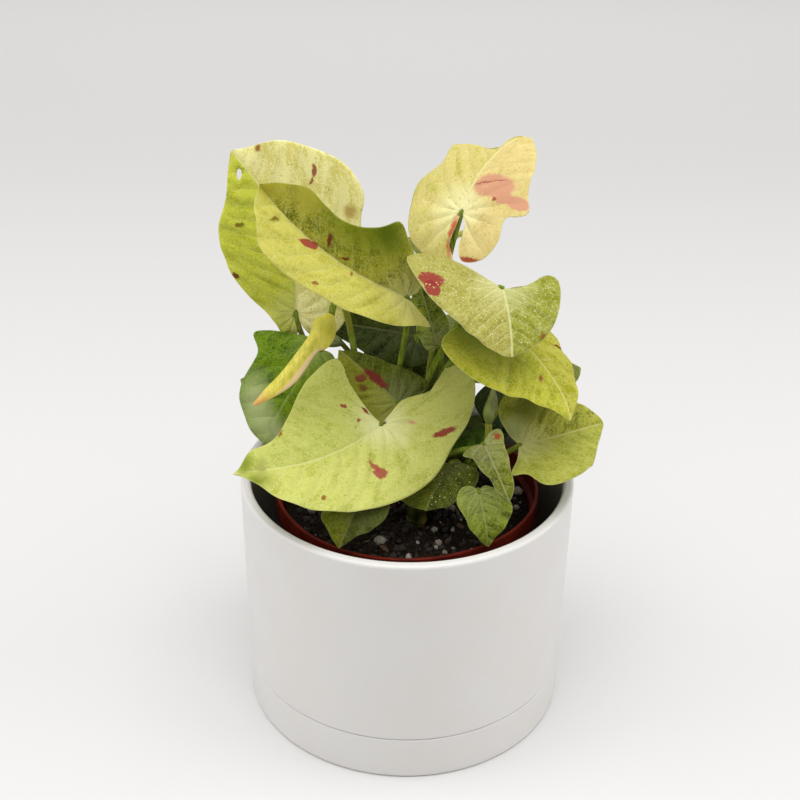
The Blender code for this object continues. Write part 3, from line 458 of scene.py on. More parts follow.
GROWTHS = {
    "leaf_back_left": Leaf(
        (-44, 14, 164), (-66, 14, 229), roll=-86, arch=10, hook=10, sweep=50,
        left=Half(12, -20, 20, [(-8, -2), (-14, 2), (-4, 8), (8, 18), (25, 24), (47, 22), (59, 12),
            (66, 6)]),
        right=Half(8, -20, 20, [(-7, 4), (-12, 11), (-2, 19), (13, 25), (31, 29), (37, 33), (46, 32),
            (55, 25), (64, 15), (68, 5)]),
        stalk=Stalk("stem_left", 126, 107, [(-43, 20, 144), (-23, 8, 127)])),
    "leaf_upper_left": Leaf(
        (-1, -8, 181), (-53, -16, 227), roll=-45, arch=-10, hook=-10, sweep=-30,
        left=Half(25, -30, 20, [(-7, 6), (-10, 9), (-3, 12), (10, 16), (23, 18), (41, 20), (55, 21),
            (62, 16), (68, 8)]),
        right=Half(35, 0, -10, [(-3, 3), (-1, 11), (8, 18), (18, 24), (25, 18), (38, 13), (48, 13),
            (58, 13), (67, 6)]),
        stalk=Stalk("stem_left", 40, 101, [(2, 18, 165), (-6, 12, 132)])),
    "leaf_crown_pink": Leaf(
        (19, 12, 207), (44, 30, 230), roll=5, arch=20, hook=50, sweep=-45,
        left=Half(12, -30, 30, [(-6, 1), (-13, 3), (-19, 1), (-18, 11), (-12, 20), (0, 24), (8, 26),
            (15, 18), (21, 19), (24, 10), (27, 2), (33, 1)]),
        right=Half(15, -20, 10, [(-7, 4), (-13, 3), (-19, 6), (-18, 15), (-11, 21), (-3, 22), (-1, 30),
            (12, 28), (29, 23), (36, 16)]),
        stalk=Stalk("stem_back", -52, 107, [(10, 13, 174), (8, 9, 136)])),
    "leaf_upper_right": Leaf(
        (33, -16, 189), (36, -38, 172), roll=-8, arch=45,
        left=Half(5, 10, 10, [(1, 4), (-1, 11), (-4, 18), (-1, 21), (13, 18), (21, 13), (26, 6)]),
        right=Half(0, 5, 0, [(-5, 4), (-14, 13), (-18, 23), (-14, 33), (3, 30), (14, 22), (23, 12),
            (28, 4)]),
        stalk=Stalk("stem_back", -95, 107, [(22, -9, 185), (5, 13, 140)])),
    "leaf_middle_right": Leaf(
        (34, 4, 165), (60, -26, 140), roll=-10, arch=35, hook=20, sweep=-10,
        left=Half(5, -15, 15, [(-2, 8), (0, 19), (9, 19), (20, 16), (34, 11), (44, 4)]),
        right=Half(0, -10, 15, [(-4, 5), (-7, 17), (-3, 31), (15, 34), (28, 29), (37, 17), (44, 7)]),
        stalk=Stalk("stem_right", -169, 105, [(17, 14, 150), (2, 8, 132)])),
    "leaf_low_right": Leaf(
        (43, -12, 121), (76, -4, 126), roll=25, arch=10, hook=30, sweep=15, twist=20,
        left=Half(12, 0, 10, [(-3, 5), (-5, 15), (0, 22), (14, 19), (26, 11), (32, 5)]),
        right=Half(25, 0, 10, [(-2, 10), (-5, 20), (0, 20), (5, 27), (13, 25), (21, 20), (28, 9)]),
        stalk=Stalk("stem_right", -39, 102, [(35, -9, 112), (24, -2, 108)])),
    "leaf_front": Leaf(
        (-10, -16, 132), (-63, -50, 130), roll=-40, hook=30, sweep=-40,
        left=Half(20, -30, -10, [(-7, -1), (-14, -2), (-25, 3), (-42, -1), (-41, 11), (-29, 21), (-14, 25),
            (2, 29), (19, 27), (35, 22), (48, 15), (57, 6), (62, 1)]),
        right=Half(0, -15, 10, [(0, 8), (-3, 21), (-8, 31), (10, 32), (24, 27), (36, 19), (47, 11), (57, 8),
            (62, 2)]),
        stalk=Stalk("stem_left", -78, 108, [(-13, -13, 123), (-14, -10, 114)])),
    "leaf_inner_red": Leaf(
        (-4, -1.7, 133.3), (-27.5, 12.5, 149), roll=-30, arch=12, hook=10,
        left=Half(5, 0, 5, [(-2, 4), (-3, 10), (1, 14), (12, 14), (24, 9)]),
        right=Half(5, 0, 15, [(-3, 4), (-4, 10), (-3, 14), (2, 14), (12, 10), (24, 5)]),
        stalk=Stalk("stem_left", 5, 110, [(-3, 0, 127), (-6, 0, 118)])),
    "leaf_low_left": Leaf(
        (-34, 7, 152), (-57, -5, 116), roll=-35, arch=30, hook=10,
        left=Half(-24, 0, 15, [(-1, 5), (4, 11), (17, 13), (32, 11), (43, 7)]),
        right=Half(5, 0, 15, [(-1, 7), (2, 14), (6, 22), (10, 26), (15, 20), (29, 19), (37, 14), (42, 7)]),
        stalk=Stalk("stem_left", 204, 110, [(-32, 15, 143), (-28, -8, 128)])),
    "leaf_small_front_left": Leaf(
        (-17, -40, 113), (-25, -54, 101), roll=-20, arch=50, hook=20,
        left=Half(10, 0, 15, [(-2, 4), (-2, 10), (6, 11), (11, 8), (15, 4), (18, 2)]),
        right=Half(20, 0, 15, [(5, 5), (9, 10), (13, 11), (16, 7), (19, 3)]),
        stalk=Stalk("stem_front", -139, 100, [(-12, -31, 109), (-2, -18, 105)])),
    "leaf_small_front_middle": Leaf(
        (17, -14, 114), (7, -36, 106), roll=10, arch=20, hook=10,
        left=Half(8, 0, 15, [(0, 5), (5, 14), (14, 17), (20, 13), (24, 7)]),
        right=Half(0, 0, 15, [(1, 6), (7, 13), (16, 15), (22, 12), (25, 6)]),
        stalk=Stalk("stem_right", -69, 107, [(17, -11, 112), (19, -4, 109)])),
    "leaf_small_front_right": Leaf(
        (26, -40, 118), (30, -46, 97), roll=15, arch=35, hook=15,
        left=Half(20, 0, 15, [(-1, 3), (3, 8), (8, 11), (15, 7), (20, 2)]),
        right=Half(25, 0, 15, [(-2, 3), (-2, 8), (2, 11), (7, 10), (15, 6)]),
        stalk=Stalk("stem_front", -12, 98, [(30, -40, 110), (12, -16, 107)])),
    "leaf_narrow_front": Leaf(
        (28, -30, 132), (37, -48, 118), roll=20, arch=35, hook=10,
        left=Half(25, 0, 15, [(-2, 4), (-1, 8), (6, 7), (16, 5), (22, 3)]),
        right=Half(30, 0, 15, [(1, 5), (5, 11), (7, 8), (14, 5), (20, 3)]),
        stalk=Stalk("stem_front", 55, 104, [(29, -18, 121), (10, -6, 118)])),
    "leaf_inner_right": Leaf(
        (30, 6, 120), (17, -6, 117), arch=25, hook=10,
        left=Half(10, 0, 15, [(5, 7), (13, 14), (18, 13), (20, 6)]),
        right=Half(10, 0, 15, [(-2, 5), (3, 7), (10, 5), (15, 3)]),
        stalk=Stalk("stem_right", -1, 108, [(28, 5, 116), (24, 2, 113)])),
    "leaf_inner_folded": Leaf(
        (11, 5.5, 154), (1, 8, 188), roll=-60, arch=10, hook=10,
        left=Half(30, 0, 15, [(0, 3), (5, 7), (16, 7), (27, 5)]),
        right=Half(35, 0, 15, [(1, 3), (8, 7), (18, 6), (29, 3)]),
        stalk=Stalk("stem_right", 111, 106, [(13, 12, 157), (13, 16, 132)])),
    "leaf_back_middle": plain_leaf(
        (8, 39.5, 150), (9, 64, 125), 22, 14, 10,
        Stalk("stem_back", 128, 103, [(1, 27, 137), (-5, 22, 116)])),
    "leaf_back_right": plain_leaf(
        (30, 25, 166), (46, 59, 148), 22, 14, 10,
        Stalk("stem_right", 75, 106, [(27, 22, 147), (21, 13, 128)]), roll=10),
    "leaf_back_low_left": plain_leaf(
        (-29, 38, 141), (-46, 62, 119), 21, 14, 10,
        Stalk("stem_back", 157, 110, [(-21, 31, 136), (-9, 19, 122)])),
    "leaf_side_right": plain_leaf(
        (46, 16, 146), (66, 32, 120), 20, 13, 9,
        Stalk("stem_right", 39, 97, [(41, 15, 128), (27, 7, 112)]), roll=-10),
    "leaf_back_small_middle": plain_leaf(
        (-4, 38, 122), (-12, 62, 108), 18, 11, 8,
        Stalk("stem_back", 96, 110, [(-3, 32, 116), (0, 24, 116)])),
    "leaf_side_left": plain_leaf(
        (-49, 22, 137), (-64, 38, 112), 17, 11, 8,
        Stalk("stem_left", 162, 109, [(-36, 13, 133), (-24, -1, 117)])),
    "leaf_back_small_right": plain_leaf(
        (28, 32, 128), (46, 54, 108), 18, 11, 8,
        Stalk("stem_back", -1, 110, [(20, 27, 120), (8, 15, 116)])),
    "leaf_crown_back": plain_leaf(
        (14, 34, 188), (8, 60, 166), 18, 12, 8,
        Stalk("stem_back", 45, 104, [(-1, 30, 166), (12, 37, 142)]), roll=-5),
    "leaf_back_upper": plain_leaf(
        (-16, 30, 175), (-24, 58, 155), 19, 13, 9,
        Stalk("stem_left", 78, 100, [(-20, 33, 142), (-13, 8, 113)]), roll=5),
    "leaf_inner_left": plain_leaf(
        (3, 23.4, 150), (-36, 24, 155.5), 14.5, 8, 7,
        Stalk("stem_back", 186, 109, [(4, 16, 140), (-9, 13, 124)]), roll=-50),
    "leaf_inner_small": plain_leaf(
        (26, 10, 151), (34, 11, 165), 9, 6, 4,
        Stalk("stem_right", 141, 104, [(26, 16, 142), (6, 6, 128)]), roll=40),
    "leaf_inner_back": plain_leaf(
        (17, 25, 132), (-14, 27, 139), 10.5, 8, 6,
        Stalk("stem_back", -27, 103, [(18, 22, 124), (13, 12, 112)]), roll=-45),
    "leaf_inner_low": plain_leaf(
        (37, 19, 129), (38, 16, 106), 12, 3, 5,
        Stalk("stem_right", 75, 102, [(37, 23, 121), (23, 15, 106)])),
    "leaf_rolled_young": Roll(
        [(-29, -7, 173), (-31, -10, 170), (-33, -13, 167), (-37, -17, 165), (-45, -25, 157),
            (-51, -29, 152), (-56, -33, 149)],
        [1.4, 4.2, 4.6, 2.3, 2.1, 1.9, 0.7],
        Stalk("stem_left", 103, 109, [(-26, 18.5, 189), (-20, 18, 138)])),
    "leaf_young_tip": Roll(
        [(30, -23, 137), (30, -23, 141), (31, -23, 146), (31, -24, 152)],
        [1.3, 2.3, 2, 0.6], Stalk("stem_right", -60, 95, [(31, -26, 121), (22, -7, 105)])),
}

# The deep greens of the leaves inside and low under the plant, far darker than the lit ones, are painted
# shade, as are the darker halves and large soft dark marks noted below
LOOKS = {
    "leaf_back_left": Look(
        ((194, 197, 66), (166, 172, 44)), ((237, 230, 160), (210, 199, 108)), drops=(170, -13, 16, -16, 10),
        holes=[(62.5, 3.4, 2, 0.95, -40)], marks=[
            Mark(49.8, -20.3, 2.2, 0.9, -39, DULL_RED), Mark(47.6, -17.6, 1.4, 0.45, -72, DULL_RED),
            Mark(34.3, -26, 2.4, 2, 74, TAN, 0.6), Mark(45, 13.8, 1.6, 1.1, 60, BROWN),
            Mark(21.2, 22.5, 2, 1.2, 19, DARK_RED), Mark(65.5, -8.5, 1.5, 0.9, -67, ORANGE, 0.6),
            Mark(-0.8, 0.2, 1.3, 0.9, 0, SHADE, 0.5)]),
    "leaf_upper_left": Look(
        # The right half's darker greens and the two large soft dark marks on it are partly the leaf's own
        # colour and partly painted shade
        ((189, 183, 84), (169, 163, 62)), ((160, 156, 48), (92, 96, 3)), blotch=0.4, specks=0.35, marks=[
            Mark(69, -3, 5, 7, 0, (150, 142, 40), 0.8), Mark(56, -12, 9, 5, 20, (164, 156, 54), 0.9),
            Mark(30, -16, 20, 10, 0, (100, 110, 6), 0.9), Mark(24, -20, 12, 5, -20, (76, 90, 2), 0.8),
            Mark(43.5, 2.4, 4.6, 2.1, -150, RED, 0.15), Mark(38.1, -4.6, 2.4, 1, -55, DARK_RED),
            Mark(29, -2.4, 1.7, 0.6, -154, DARK_RED), Mark(24.4, 2, 1.4, 0.7, -99, ORANGE, 0.5),
            Mark(36.3, 16, 1.1, 0.6, -146, ORANGE, 0.5), Mark(59.1, 6.2, 2.6, 0.7, -122, BROWN, 0.5),
            Mark(-0.8, 0.2, 1.6, 1, 0, SHADE, 0.5)]),
    "leaf_crown_pink": Look(
        ((200, 186, 110), (180, 171, 80)), ((209, 190, 124), (191, 169, 96)), veins=0.6, heart=0.6,
        blotch=0.3, drops=(230, -16, 12, -16, 22), marks=[
            Mark(12.5, -11.8, 10.2, 5.8, -82, PINK, 0.14), Mark(5.1, -25.8, 5.6, 4.4, -114, PINK, 0.14),
            Mark(7.4, -18.2, 5, 3.6, -95, PINK, 0.14), Mark(5.6, -14.6, 1.2, 0.9, 0, DULL_RED),
            Mark(14, -9, 8, 0.35, -70, DULL_RED, 0.5), Mark(-9.5, 1.8, 7.5, 1.7, -4, (180, 78, 52), 0.4),
            Mark(-19, -8.4, 6, 1.5, -92, (150, 50, 34), 0.3), Mark(-0.6, 0.2, 1.4, 1.1, 0, SHADE, 0.5)]),
    "leaf_upper_right": Look(
        ((142, 145, 50), (120, 124, 22)), ((162, 158, 78), (142, 134, 50)), veins=0.6, heart=0.3,
        specks=0.35, drops=(430, -16, 24, -32, 20), marks=[
            Mark(-2, -26.2, 4.8, 4, 97, RED, 0.12), Mark(2.4, -26.8, 3.8, 2.8, 16, RED, 0.12),
            Mark(21.7, 11.3, 1.2, 1, 0, ORANGE, 0.5)]),
    "leaf_middle_right": Look(
        ((180, 176, 64), (148, 146, 22)), ((184, 182, 56), (146, 150, 18)), marks=[
            # The two large soft dark marks by the junction are painted shade
            Mark(6, -12, 15, 12, 0, (96, 108, 2), 0.8), Mark(-8, -10, 12, 14, 0, (84, 96, 2), 0.8),
            Mark(19.5, 15, 2.6, 0.6, 50, DARK_RED), Mark(29.6, -6.2, 1.7, 0.7, 136, DULL_RED, 0.6)]),
    "leaf_low_right": Look(
        # The left half's darker deep green and the first large soft dark mark below, which lies on it, are
        # painted shade
        ((166, 166, 60), (108, 111, 20)), ((166, 167, 72), (138, 142, 44)), veins=0.3, heart=0.3, marks=[
            Mark(6, 14, 9, 6, 0, (96, 98, 30), 0.9), Mark(-2.4, 6, 6, 4.5, 20, (150, 156, 96), 0.9),
            Mark(-0.5, -0.2, 1.5, 1.1, 0, SHADE, 0.5)]),
    "leaf_front": Look(
        ((190, 193, 102), (165, 169, 70)), ((184, 189, 97), (158, 165, 62)), heart=0.6, blotch=0.3, marks=[
            Mark(15, 15.8, 2.5, 2.2, 148, (158, 74, 62), 0.15),
            Mark(15.3, 12.6, 3, 0.8, 92, (158, 74, 62), 0.15), Mark(1.5, -8.1, 2.1, 0.9, 88, RED),
            Mark(8.3, -14.4, 1.4, 0.7, 153, RED), Mark(7.4, -6.4, 1, 0.8, 0, DULL_RED),
            Mark(36.9, 15.7, 0.9, 0.8, 0, ORANGE), Mark(-16.1, 18.7, 5.6, 1.3, 162, RED),
            Mark(-8.9, 7.7, 1.6, 0.8, 136, PINK, 0.6), Mark(42, -13.5, 2, 0.7, -139, ORANGE, 0.5),
            Mark(57, 5, 5, 3, 20, (112, 124, 20), 0.9), Mark(60, -3, 3, 4, 0, (120, 132, 28), 0.9),
            Mark(54, -1, 4, 1.6, 70, (160, 164, 84), 0.8), Mark(-0.6, 0.2, 1.3, 0.8, 0, SHADE, 0.5)]),
    "leaf_inner_red": Look(
        # Its greens, darkest on the right half, and its red marks, which are its own, are darkened as painted
        # shade
        ((136, 140, 34), (112, 114, 16)), ((88, 96, 10), (58, 66, 1)), veins=0.15, heart=0.1, specks=0.35,
        marks=[
            Mark(12.9, -1.1, 5.8, 1.8, -176, (120, 38, 38), 0.2),
            Mark(17, 3.2, 2.6, 1.7, -124, (122, 56, 42), 0.2),
            Mark(13.7, 5.6, 1.6, 1.4, 0, (104, 70, 26), 0.6)]),
    "leaf_low_left": Look(
        ((116, 140, 16), (78, 106, 2)), ((104, 132, 10), (56, 86, 0)), veins=0.15, heart=0.1, marks=[
            Mark(31, -11, 8.5, 5.5, 30, WHITISH, 0.9), Mark(37, -2, 7, 5.5, 60, WHITISH, 0.9),
            Mark(39, 5, 4.5, 4, 0, WHITISH, 0.9)]),
    "leaf_small_front_left": Look(((66, 73, 6), (46, 56, 0)), ((98, 105, 12), (74, 79, 1)), **DIM),
    "leaf_small_front_middle": Look(
        ((76, 84, 16), (43, 49, 2)), ((92, 100, 18), (70, 76, 3)), **DIM, drops=(70, 0, 24, -15, 17)),
    "leaf_small_front_right": Look(
        ((128, 140, 40), (78, 86, 12)), ((116, 128, 30), (74, 86, 8)), veins=0.2, heart=0.1),
    "leaf_narrow_front": Look(
        ((116, 122, 32), (84, 90, 9)), ((98, 104, 24), (64, 72, 6)), **FAINT,
        marks=[Mark(1, 6, 1.8, 1, 12, (150, 70, 34))]),
    "leaf_inner_right": Look(((66, 96, 16), (36, 60, 0)), ((56, 72, 12), (27, 38, 0)), **DIM),
    "leaf_inner_folded": Look(((128, 140, 30), (58, 71, 0)), ((107, 118, 16), (54, 65, 0)), **FAINT),
    "leaf_back_middle": Look(
        ((184, 192, 80), (140, 156, 34)), ((188, 194, 84), (140, 158, 34)),
        marks=[Mark(9, 9, 3.2, 1.6, 30, RED), Mark(4, -12, 2.2, 1.2, -40, PINK, 0.5)]),
    "leaf_back_right": Look(
        ((206, 202, 108), (180, 184, 66)), ((210, 204, 116), (182, 186, 68)),
        marks=[Mark(14, -8, 4, 2, -50, PINK, 0.4), Mark(24, 6, 1.8, 0.9, 20, RED)]),
    "leaf_back_low_left": Look(
        ((84, 96, 10), (64, 78, 2)), ((82, 94, 10), (62, 76, 2)), **DIM,
        marks=[Mark(10, 10, 5, 4, 0, WHITISH, 0.8)]),
    "leaf_side_right": Look(
        ((186, 190, 84), (150, 162, 40)), ((184, 188, 80), (148, 160, 38)),
        marks=[Mark(12, 8, 2, 1, 60, DULL_RED)]),
    "leaf_back_small_middle": Look(((106, 126, 30), (66, 88, 8)), ((104, 124, 28), (64, 86, 8))),
    "leaf_side_left": Look(((160, 172, 56), (120, 138, 22)), ((158, 170, 54), (118, 136, 22))),
    "leaf_back_small_right": Look(
        ((132, 144, 40), (92, 108, 12)), ((130, 142, 38), (90, 106, 12)),
        marks=[Mark(8, -7, 2.4, 1.2, 0, RED)]),
    "leaf_crown_back": Look(
        ((206, 202, 104), (180, 184, 64)), ((208, 204, 108), (182, 186, 66)),
        marks=[Mark(10, 6, 4.2, 2.4, 40, PINK, 0.4)]),
    "leaf_back_upper": Look(
        ((196, 196, 92), (160, 170, 48)), ((198, 198, 96), (162, 172, 50)),
        marks=[Mark(12, -6, 2.6, 1.3, -30, RED), Mark(20, 6, 3, 2, 10, TAN, 0.6)]),
    "leaf_inner_left": Look(((48, 60, 6), (22, 34, 0)), ((54, 64, 3), (38, 48, 0)), **DIM),
    "leaf_inner_low": Look(((30, 52, 4), (14, 30, 0)), ((30, 52, 4), (14, 30, 0)), **DIM),
    "leaf_inner_back": Look(((64, 78, 10), (26, 38, 0)), ((64, 78, 10), (30, 42, 0)), **DIM),
    "leaf_inner_small": Look(((120, 132, 34), (80, 94, 8)), ((118, 130, 32), (78, 92, 8)), **FAINT),
    "leaf_rolled_young": Look(((222, 206, 84), (190, 184, 50)), ((222, 206, 84), (190, 184, 50))),
    "leaf_young_tip": Look(((116, 124, 56), (84, 94, 28)), ((116, 124, 56), (84, 94, 28))),
}

LARGE_LEAVES = [
    "leaf_back_left", "leaf_upper_left", "leaf_crown_pink", "leaf_upper_right", "leaf_middle_right",
    "leaf_low_right", "leaf_front",
]
SMALL_LEAVES = [
    "leaf_inner_red", "leaf_low_left", "leaf_small_front_left", "leaf_small_front_middle",
    "leaf_small_front_right", "leaf_narrow_front", "leaf_inner_right", "leaf_inner_folded",
    "leaf_inner_left", "leaf_inner_back", "leaf_inner_low", "leaf_inner_small",
]
BACK_LEAVES = [
    "leaf_back_middle", "leaf_back_right", "leaf_back_low_left", "leaf_side_right",
    "leaf_back_small_middle", "leaf_side_left", "leaf_back_small_right", "leaf_crown_back",
    "leaf_back_upper",
]
ROLLED_LEAVES = ["leaf_rolled_young", "leaf_young_tip"]


def rise(value, low, high):
    """0 below low, 1 above high, and 3s^2 - 2s^3 of the share s between them."""
    share = np.clip((value - low) / (high - low), 0, 1)
    return share * share * (3 - 2 * share)


def units(rows):
    """Each row, or a single vector, made one long."""
    return rows / np.linalg.norm(rows, axis=-1, keepdims=True)


def resampled(place, stations, rows):
    """The rows at the stations, read at other places between them."""
    return np.stack([np.interp(place, stations, column) for column in rows.T], axis=1)


def full_turn(steps):
    """Even angles round a circle."""
    return np.linspace(0, 2 * math.pi, steps, endpoint=False)


def waves(rows, x, y):
    """The sum of h sin(ax + by + s) over rows of (h, a, b, s)."""
    return sum(height * np.sin(a * x + b * y + shift) for height, a, b, shift in rows)


def outer_radius(height):
    """The planter and the saucer share one outside, a little wider at the rim."""
    share = height / PLANTER_HEIGHT
    return PLANTER_BASE_RADIUS + (PLANTER_RIM_RADIUS - PLANTER_BASE_RADIUS) * share


def rounded(corners, closed):
    """A profile through (radius, height, round) corners.

    Each corner C between A = C + round towards the last corner and B = C + round towards the next becomes
    the curve (1-t)^2 A + 2t(1-t) C + t^2 B, and each straight run gets a few points, close to its ends.
    """
    given = np.asarray(corners, float)
    place = given[:, :2]
    before = np.roll(place, 1, axis=0) - place
    after = np.roll(place, -1, axis=0) - place
    if not closed:
        before[0] = -after[0]
        after[-1] = -before[-1]
    start = place + given[:, 2:] * units(before)
    end = place + given[:, 2:] * units(after)
    if not closed:
        start[0] = end[0] = place[0]
        start[-1] = end[-1] = place[-1]
    t = np.linspace(0, 1, CORNER_STEPS + 1)[None, :, None]
    curves = (1 - t) ** 2 * start[:, None] + 2 * t * (1 - t) * place[:, None] + t**2 * end[:, None]
    share = np.array(RUN_SHARES)[None, :, None]
    runs = end[:, None] * (1 - share) + np.roll(start, -1, axis=0)[:, None] * share
    path = np.concatenate([curves, runs], axis=1)
    path = path.reshape(-1, 2) if closed else path.reshape(-1, 2)[: -len(RUN_SHARES)]
    fresh = np.linalg.norm(path - np.roll(path, 1, axis=0), axis=1) > RUN_MERGE
    fresh[0] = True
    return path[fresh]


def turned(path, steps, place=(0, 0)):
    """Rings of a profile turned about an upright axis: (r cos a, r sin a, height) for each turn a."""
    turns = full_turn(steps)
    x = place[0] + np.outer(path[:, 0], np.cos(turns))
    y = place[1] + np.outer(path[:, 0], np.sin(turns))
    return np.stack([x, y, np.repeat(path[:, 1:], steps, axis=1)], axis=2)


def skin(rings, closed=False):
    """Points and faces of a closed surface over rings, with a pole at each end, or its ends joined."""
    count, sides = rings.shape[:2]
    points = rings.reshape(-1, 3)
    rows = np.arange(count if closed else count - 1)[:, None]
    columns = np.arange(sides)[None]
    after = (columns + 1) % sides
    below = (rows + 1) % count
    corners = [rows * sides + columns, below * sides + columns, below * sides + after, rows * sides + after]
    faces = np.stack(corners, axis=-1).reshape(-1, 4)
    if closed:
        return points, [faces]
    poles = np.stack([rings[0].mean(axis=0), rings[-1].mean(axis=0)])
    around = columns[0]
    last = (count - 1) * sides
    top = np.stack([around, after[0], np.full(sides, len(points))], axis=-1)
    foot = np.stack([last + after[0], last + around, np.full(sides, len(points) + 1)], axis=-1)
    return np.vstack([points, poles]), [faces, top, foot]


def volume(points, faces):
    """The space inside closed faces: a sixth of the sum of a . (b x c) over their triangles."""
    total = 0.0
    for group in faces:
        for corner in range(1, group.shape[1] - 1):
            a, b, c = (points[group[:, column]] for column in (0, corner, corner + 1))
            total += float(np.sum(a * np.cross(b, c))) / 6
    return total


def joined(parts):
    """Several (points, faces) made one, each one's faces pointing outwards."""
    faces = []
    first = 0
    for place, groups in parts:
        outward = volume(place, groups) > 0
        faces += [first + (group if outward else group[:, ::-1]) for group in groups]
        first += len(place)
    return np.vstack([place for place, _ in parts]), faces


def planter_skin(edge):
    """The planter's wall and floor: its closed outline turned about the axis, rounded at the rim."""
    shoulder = SEAM_HEIGHT + GAP
    foot = SAUCER_INSIDE - GAP
    outline = [
        (DRAIN_RADIUS, PLANTER_FLOOR_TOP, SEAM_EDGE),
        (foot - PLANTER_WALL, PLANTER_FLOOR_TOP, edge),
        (PLANTER_RIM_RADIUS - PLANTER_WALL, PLANTER_HEIGHT, edge),
        (PLANTER_RIM_RADIUS, PLANTER_HEIGHT, edge),
        (outer_radius(shoulder), shoulder, SEAM_EDGE),
        (foot, shoulder, SEAM_EDGE),
        (foot, SAUCER_FLOOR + GAP, SEAM_EDGE),
        (DRAIN_RADIUS, SAUCER_FLOOR + GAP, SEAM_EDGE),
    ]
    return skin(turned(rounded(outline, True), ROUND_STEPS), True)


def saucer_skin(edge):
    """The saucer: a shallow dish with a foot ring, its open outline turned about the axis."""
    outline = [
        (AXIS_GAP, SAUCER_FLOOR, 0),
        (SAUCER_INSIDE, SAUCER_FLOOR, SEAM_EDGE),
        (SAUCER_INSIDE, SEAM_HEIGHT, SEAM_EDGE),
        (outer_radius(SEAM_HEIGHT), SEAM_HEIGHT, SEAM_EDGE),
        (PLANTER_BASE_RADIUS, 0, edge),
        (FOOT_RING_OUTSIDE, 0, SEAM_EDGE),
        (FOOT_RING_OUTSIDE - FOOT_RING_STEP, FOOT_RING_STEP, SEAM_EDGE),
        (AXIS_GAP, FOOT_RING_STEP, 0),
    ]
    return skin(turned(rounded(outline, False), ROUND_STEPS))


def nursery_skin():
    """The thin pot with its rim band: its outline turned about the axis, and slightly wavy at the rim."""
    under = NURSERY_RIM_TOP - NURSERY_RIM_BAND
    neck = NURSERY_RIM_RADIUS - NURSERY_RIM_STEP
    outline = [
        (AXIS_GAP, NURSERY_FOOT + NURSERY_WALL, 0),
        (NURSERY_BASE_RADIUS - NURSERY_WALL, NURSERY_FOOT + NURSERY_WALL, NURSERY_EDGE),
        (neck - NURSERY_WALL, under, NURSERY_EDGE),
        (NURSERY_RIM_RADIUS - NURSERY_WALL, under + NURSERY_WALL, NURSERY_EDGE),
        (NURSERY_RIM_RADIUS - NURSERY_WALL, NURSERY_RIM_TOP, NURSERY_EDGE),
        (NURSERY_RIM_RADIUS, NURSERY_RIM_TOP, NURSERY_EDGE),
        (NURSERY_RIM_RADIUS, under, NURSERY_EDGE),
        (neck, under, NURSERY_EDGE),
        (NURSERY_BASE_RADIUS, NURSERY_FOOT, NURSERY_EDGE),
        (AXIS_GAP, NURSERY_FOOT, 0),
    ]
    rings = turned(rounded(outline, False), ROUND_STEPS)
    turns = np.arctan2(rings[..., 1], rings[..., 0])
    height = rise(rings[..., 2], under, NURSERY_RIM_TOP)
    rings[..., 2] -= RIM_WAVE * height * (1 + np.sin(RIM_WAVES * turns + RIM_WAVE_SHIFT))
    return skin(rings)


def soil_height(x, y):
    """The soil's top: long waves, fine waves, lower at the pot's wall, and a pit round each stem."""
    inner = 1 - rise(np.hypot(x, y), SOIL_EDGE_RADIUS - SOIL_EDGE_WIDTH, SOIL_EDGE_RADIUS)
    height = SOIL_TOP - SOIL_EDGE_DROP * (1 - inner)
    height = height + waves(SOIL_WAVES, x, y) * inner
    height = height + waves(SOIL_FINE_WAVES, x, y) * (SOIL_FINE_EDGE + (1 - SOIL_FINE_EDGE) * inner)
    for place, _ in STEMS.values():
        away = np.hypot(x - place[0], y - place[1])
        pit = 1 - rise(away, PIT_RADIUS - PIT_EDGE, PIT_RADIUS + PIT_EDGE)
        height = height - (SOIL_TOP - STEM_FOOT) * pit
    return height


def soil_skin():
    """The pot's filling: rings of the soil's height out to the wall, then a tapered side to the floor."""
    turns = full_turn(SOIL_STEPS)
    radii = np.linspace(SOIL_INMOST, SOIL_EDGE_RADIUS, SOIL_RINGS)
    x = np.outer(radii, np.cos(turns))
    y = np.outer(radii, np.sin(turns))
    top = np.stack([x, y, soil_height(x, y)], axis=2)
    bottom = NURSERY_FOOT + NURSERY_WALL + GAP
    foot = (NURSERY_BASE_RADIUS - NURSERY_WALL - 2 * GAP) / SOIL_EDGE_RADIUS
    share = np.linspace(0, 1, SOIL_SIDE_ROWS)[1:, None]
    size = 1 - (1 - foot) * share
    low = top[-1, :, 2][None] * (1 - share) + bottom * share
    side = np.stack([top[-1, :, 0] * size, top[-1, :, 1] * size, low], axis=2)
    return skin(np.concatenate([top, side]))


def scatter(count, luck, widest):
    """Places on the soil, even over its area, at a distance from the stems, with the height there."""
    radius = widest * np.sqrt(luck.random(GRAIN_TRIES * count))
    turn = 2 * math.pi * luck.random(GRAIN_TRIES * count)
    x, y = radius * np.cos(turn), radius * np.sin(turn)
    away = np.min([np.hypot(x - place[0], y - place[1]) for place, _ in STEMS.values()], axis=0)
    clear = np.flatnonzero(away > PIT_RADIUS + GRAIN_CLEAR)[:count]
    x, y = x[clear], y[clear]
    return np.stack([x, y, soil_height(x, y)], axis=1)


def turns_of(luck, count):
    """Random rotations: the matrix of a unit quaternion (w, x, y, z) for each lump."""
    w, x, y, z = units(luck.normal(size=(count, 4))).T
    rows = [
        [1 - 2 * (y * y + z * z), 2 * (x * y - z * w), 2 * (x * z + y * w)],
        [2 * (x * y + z * w), 1 - 2 * (x * x + z * z), 2 * (y * z - x * w)],
        [2 * (x * z - y * w), 2 * (y * z + x * w), 1 - 2 * (x * x + y * y)],
    ]
    return np.moveaxis(np.array(rows), 2, 0)


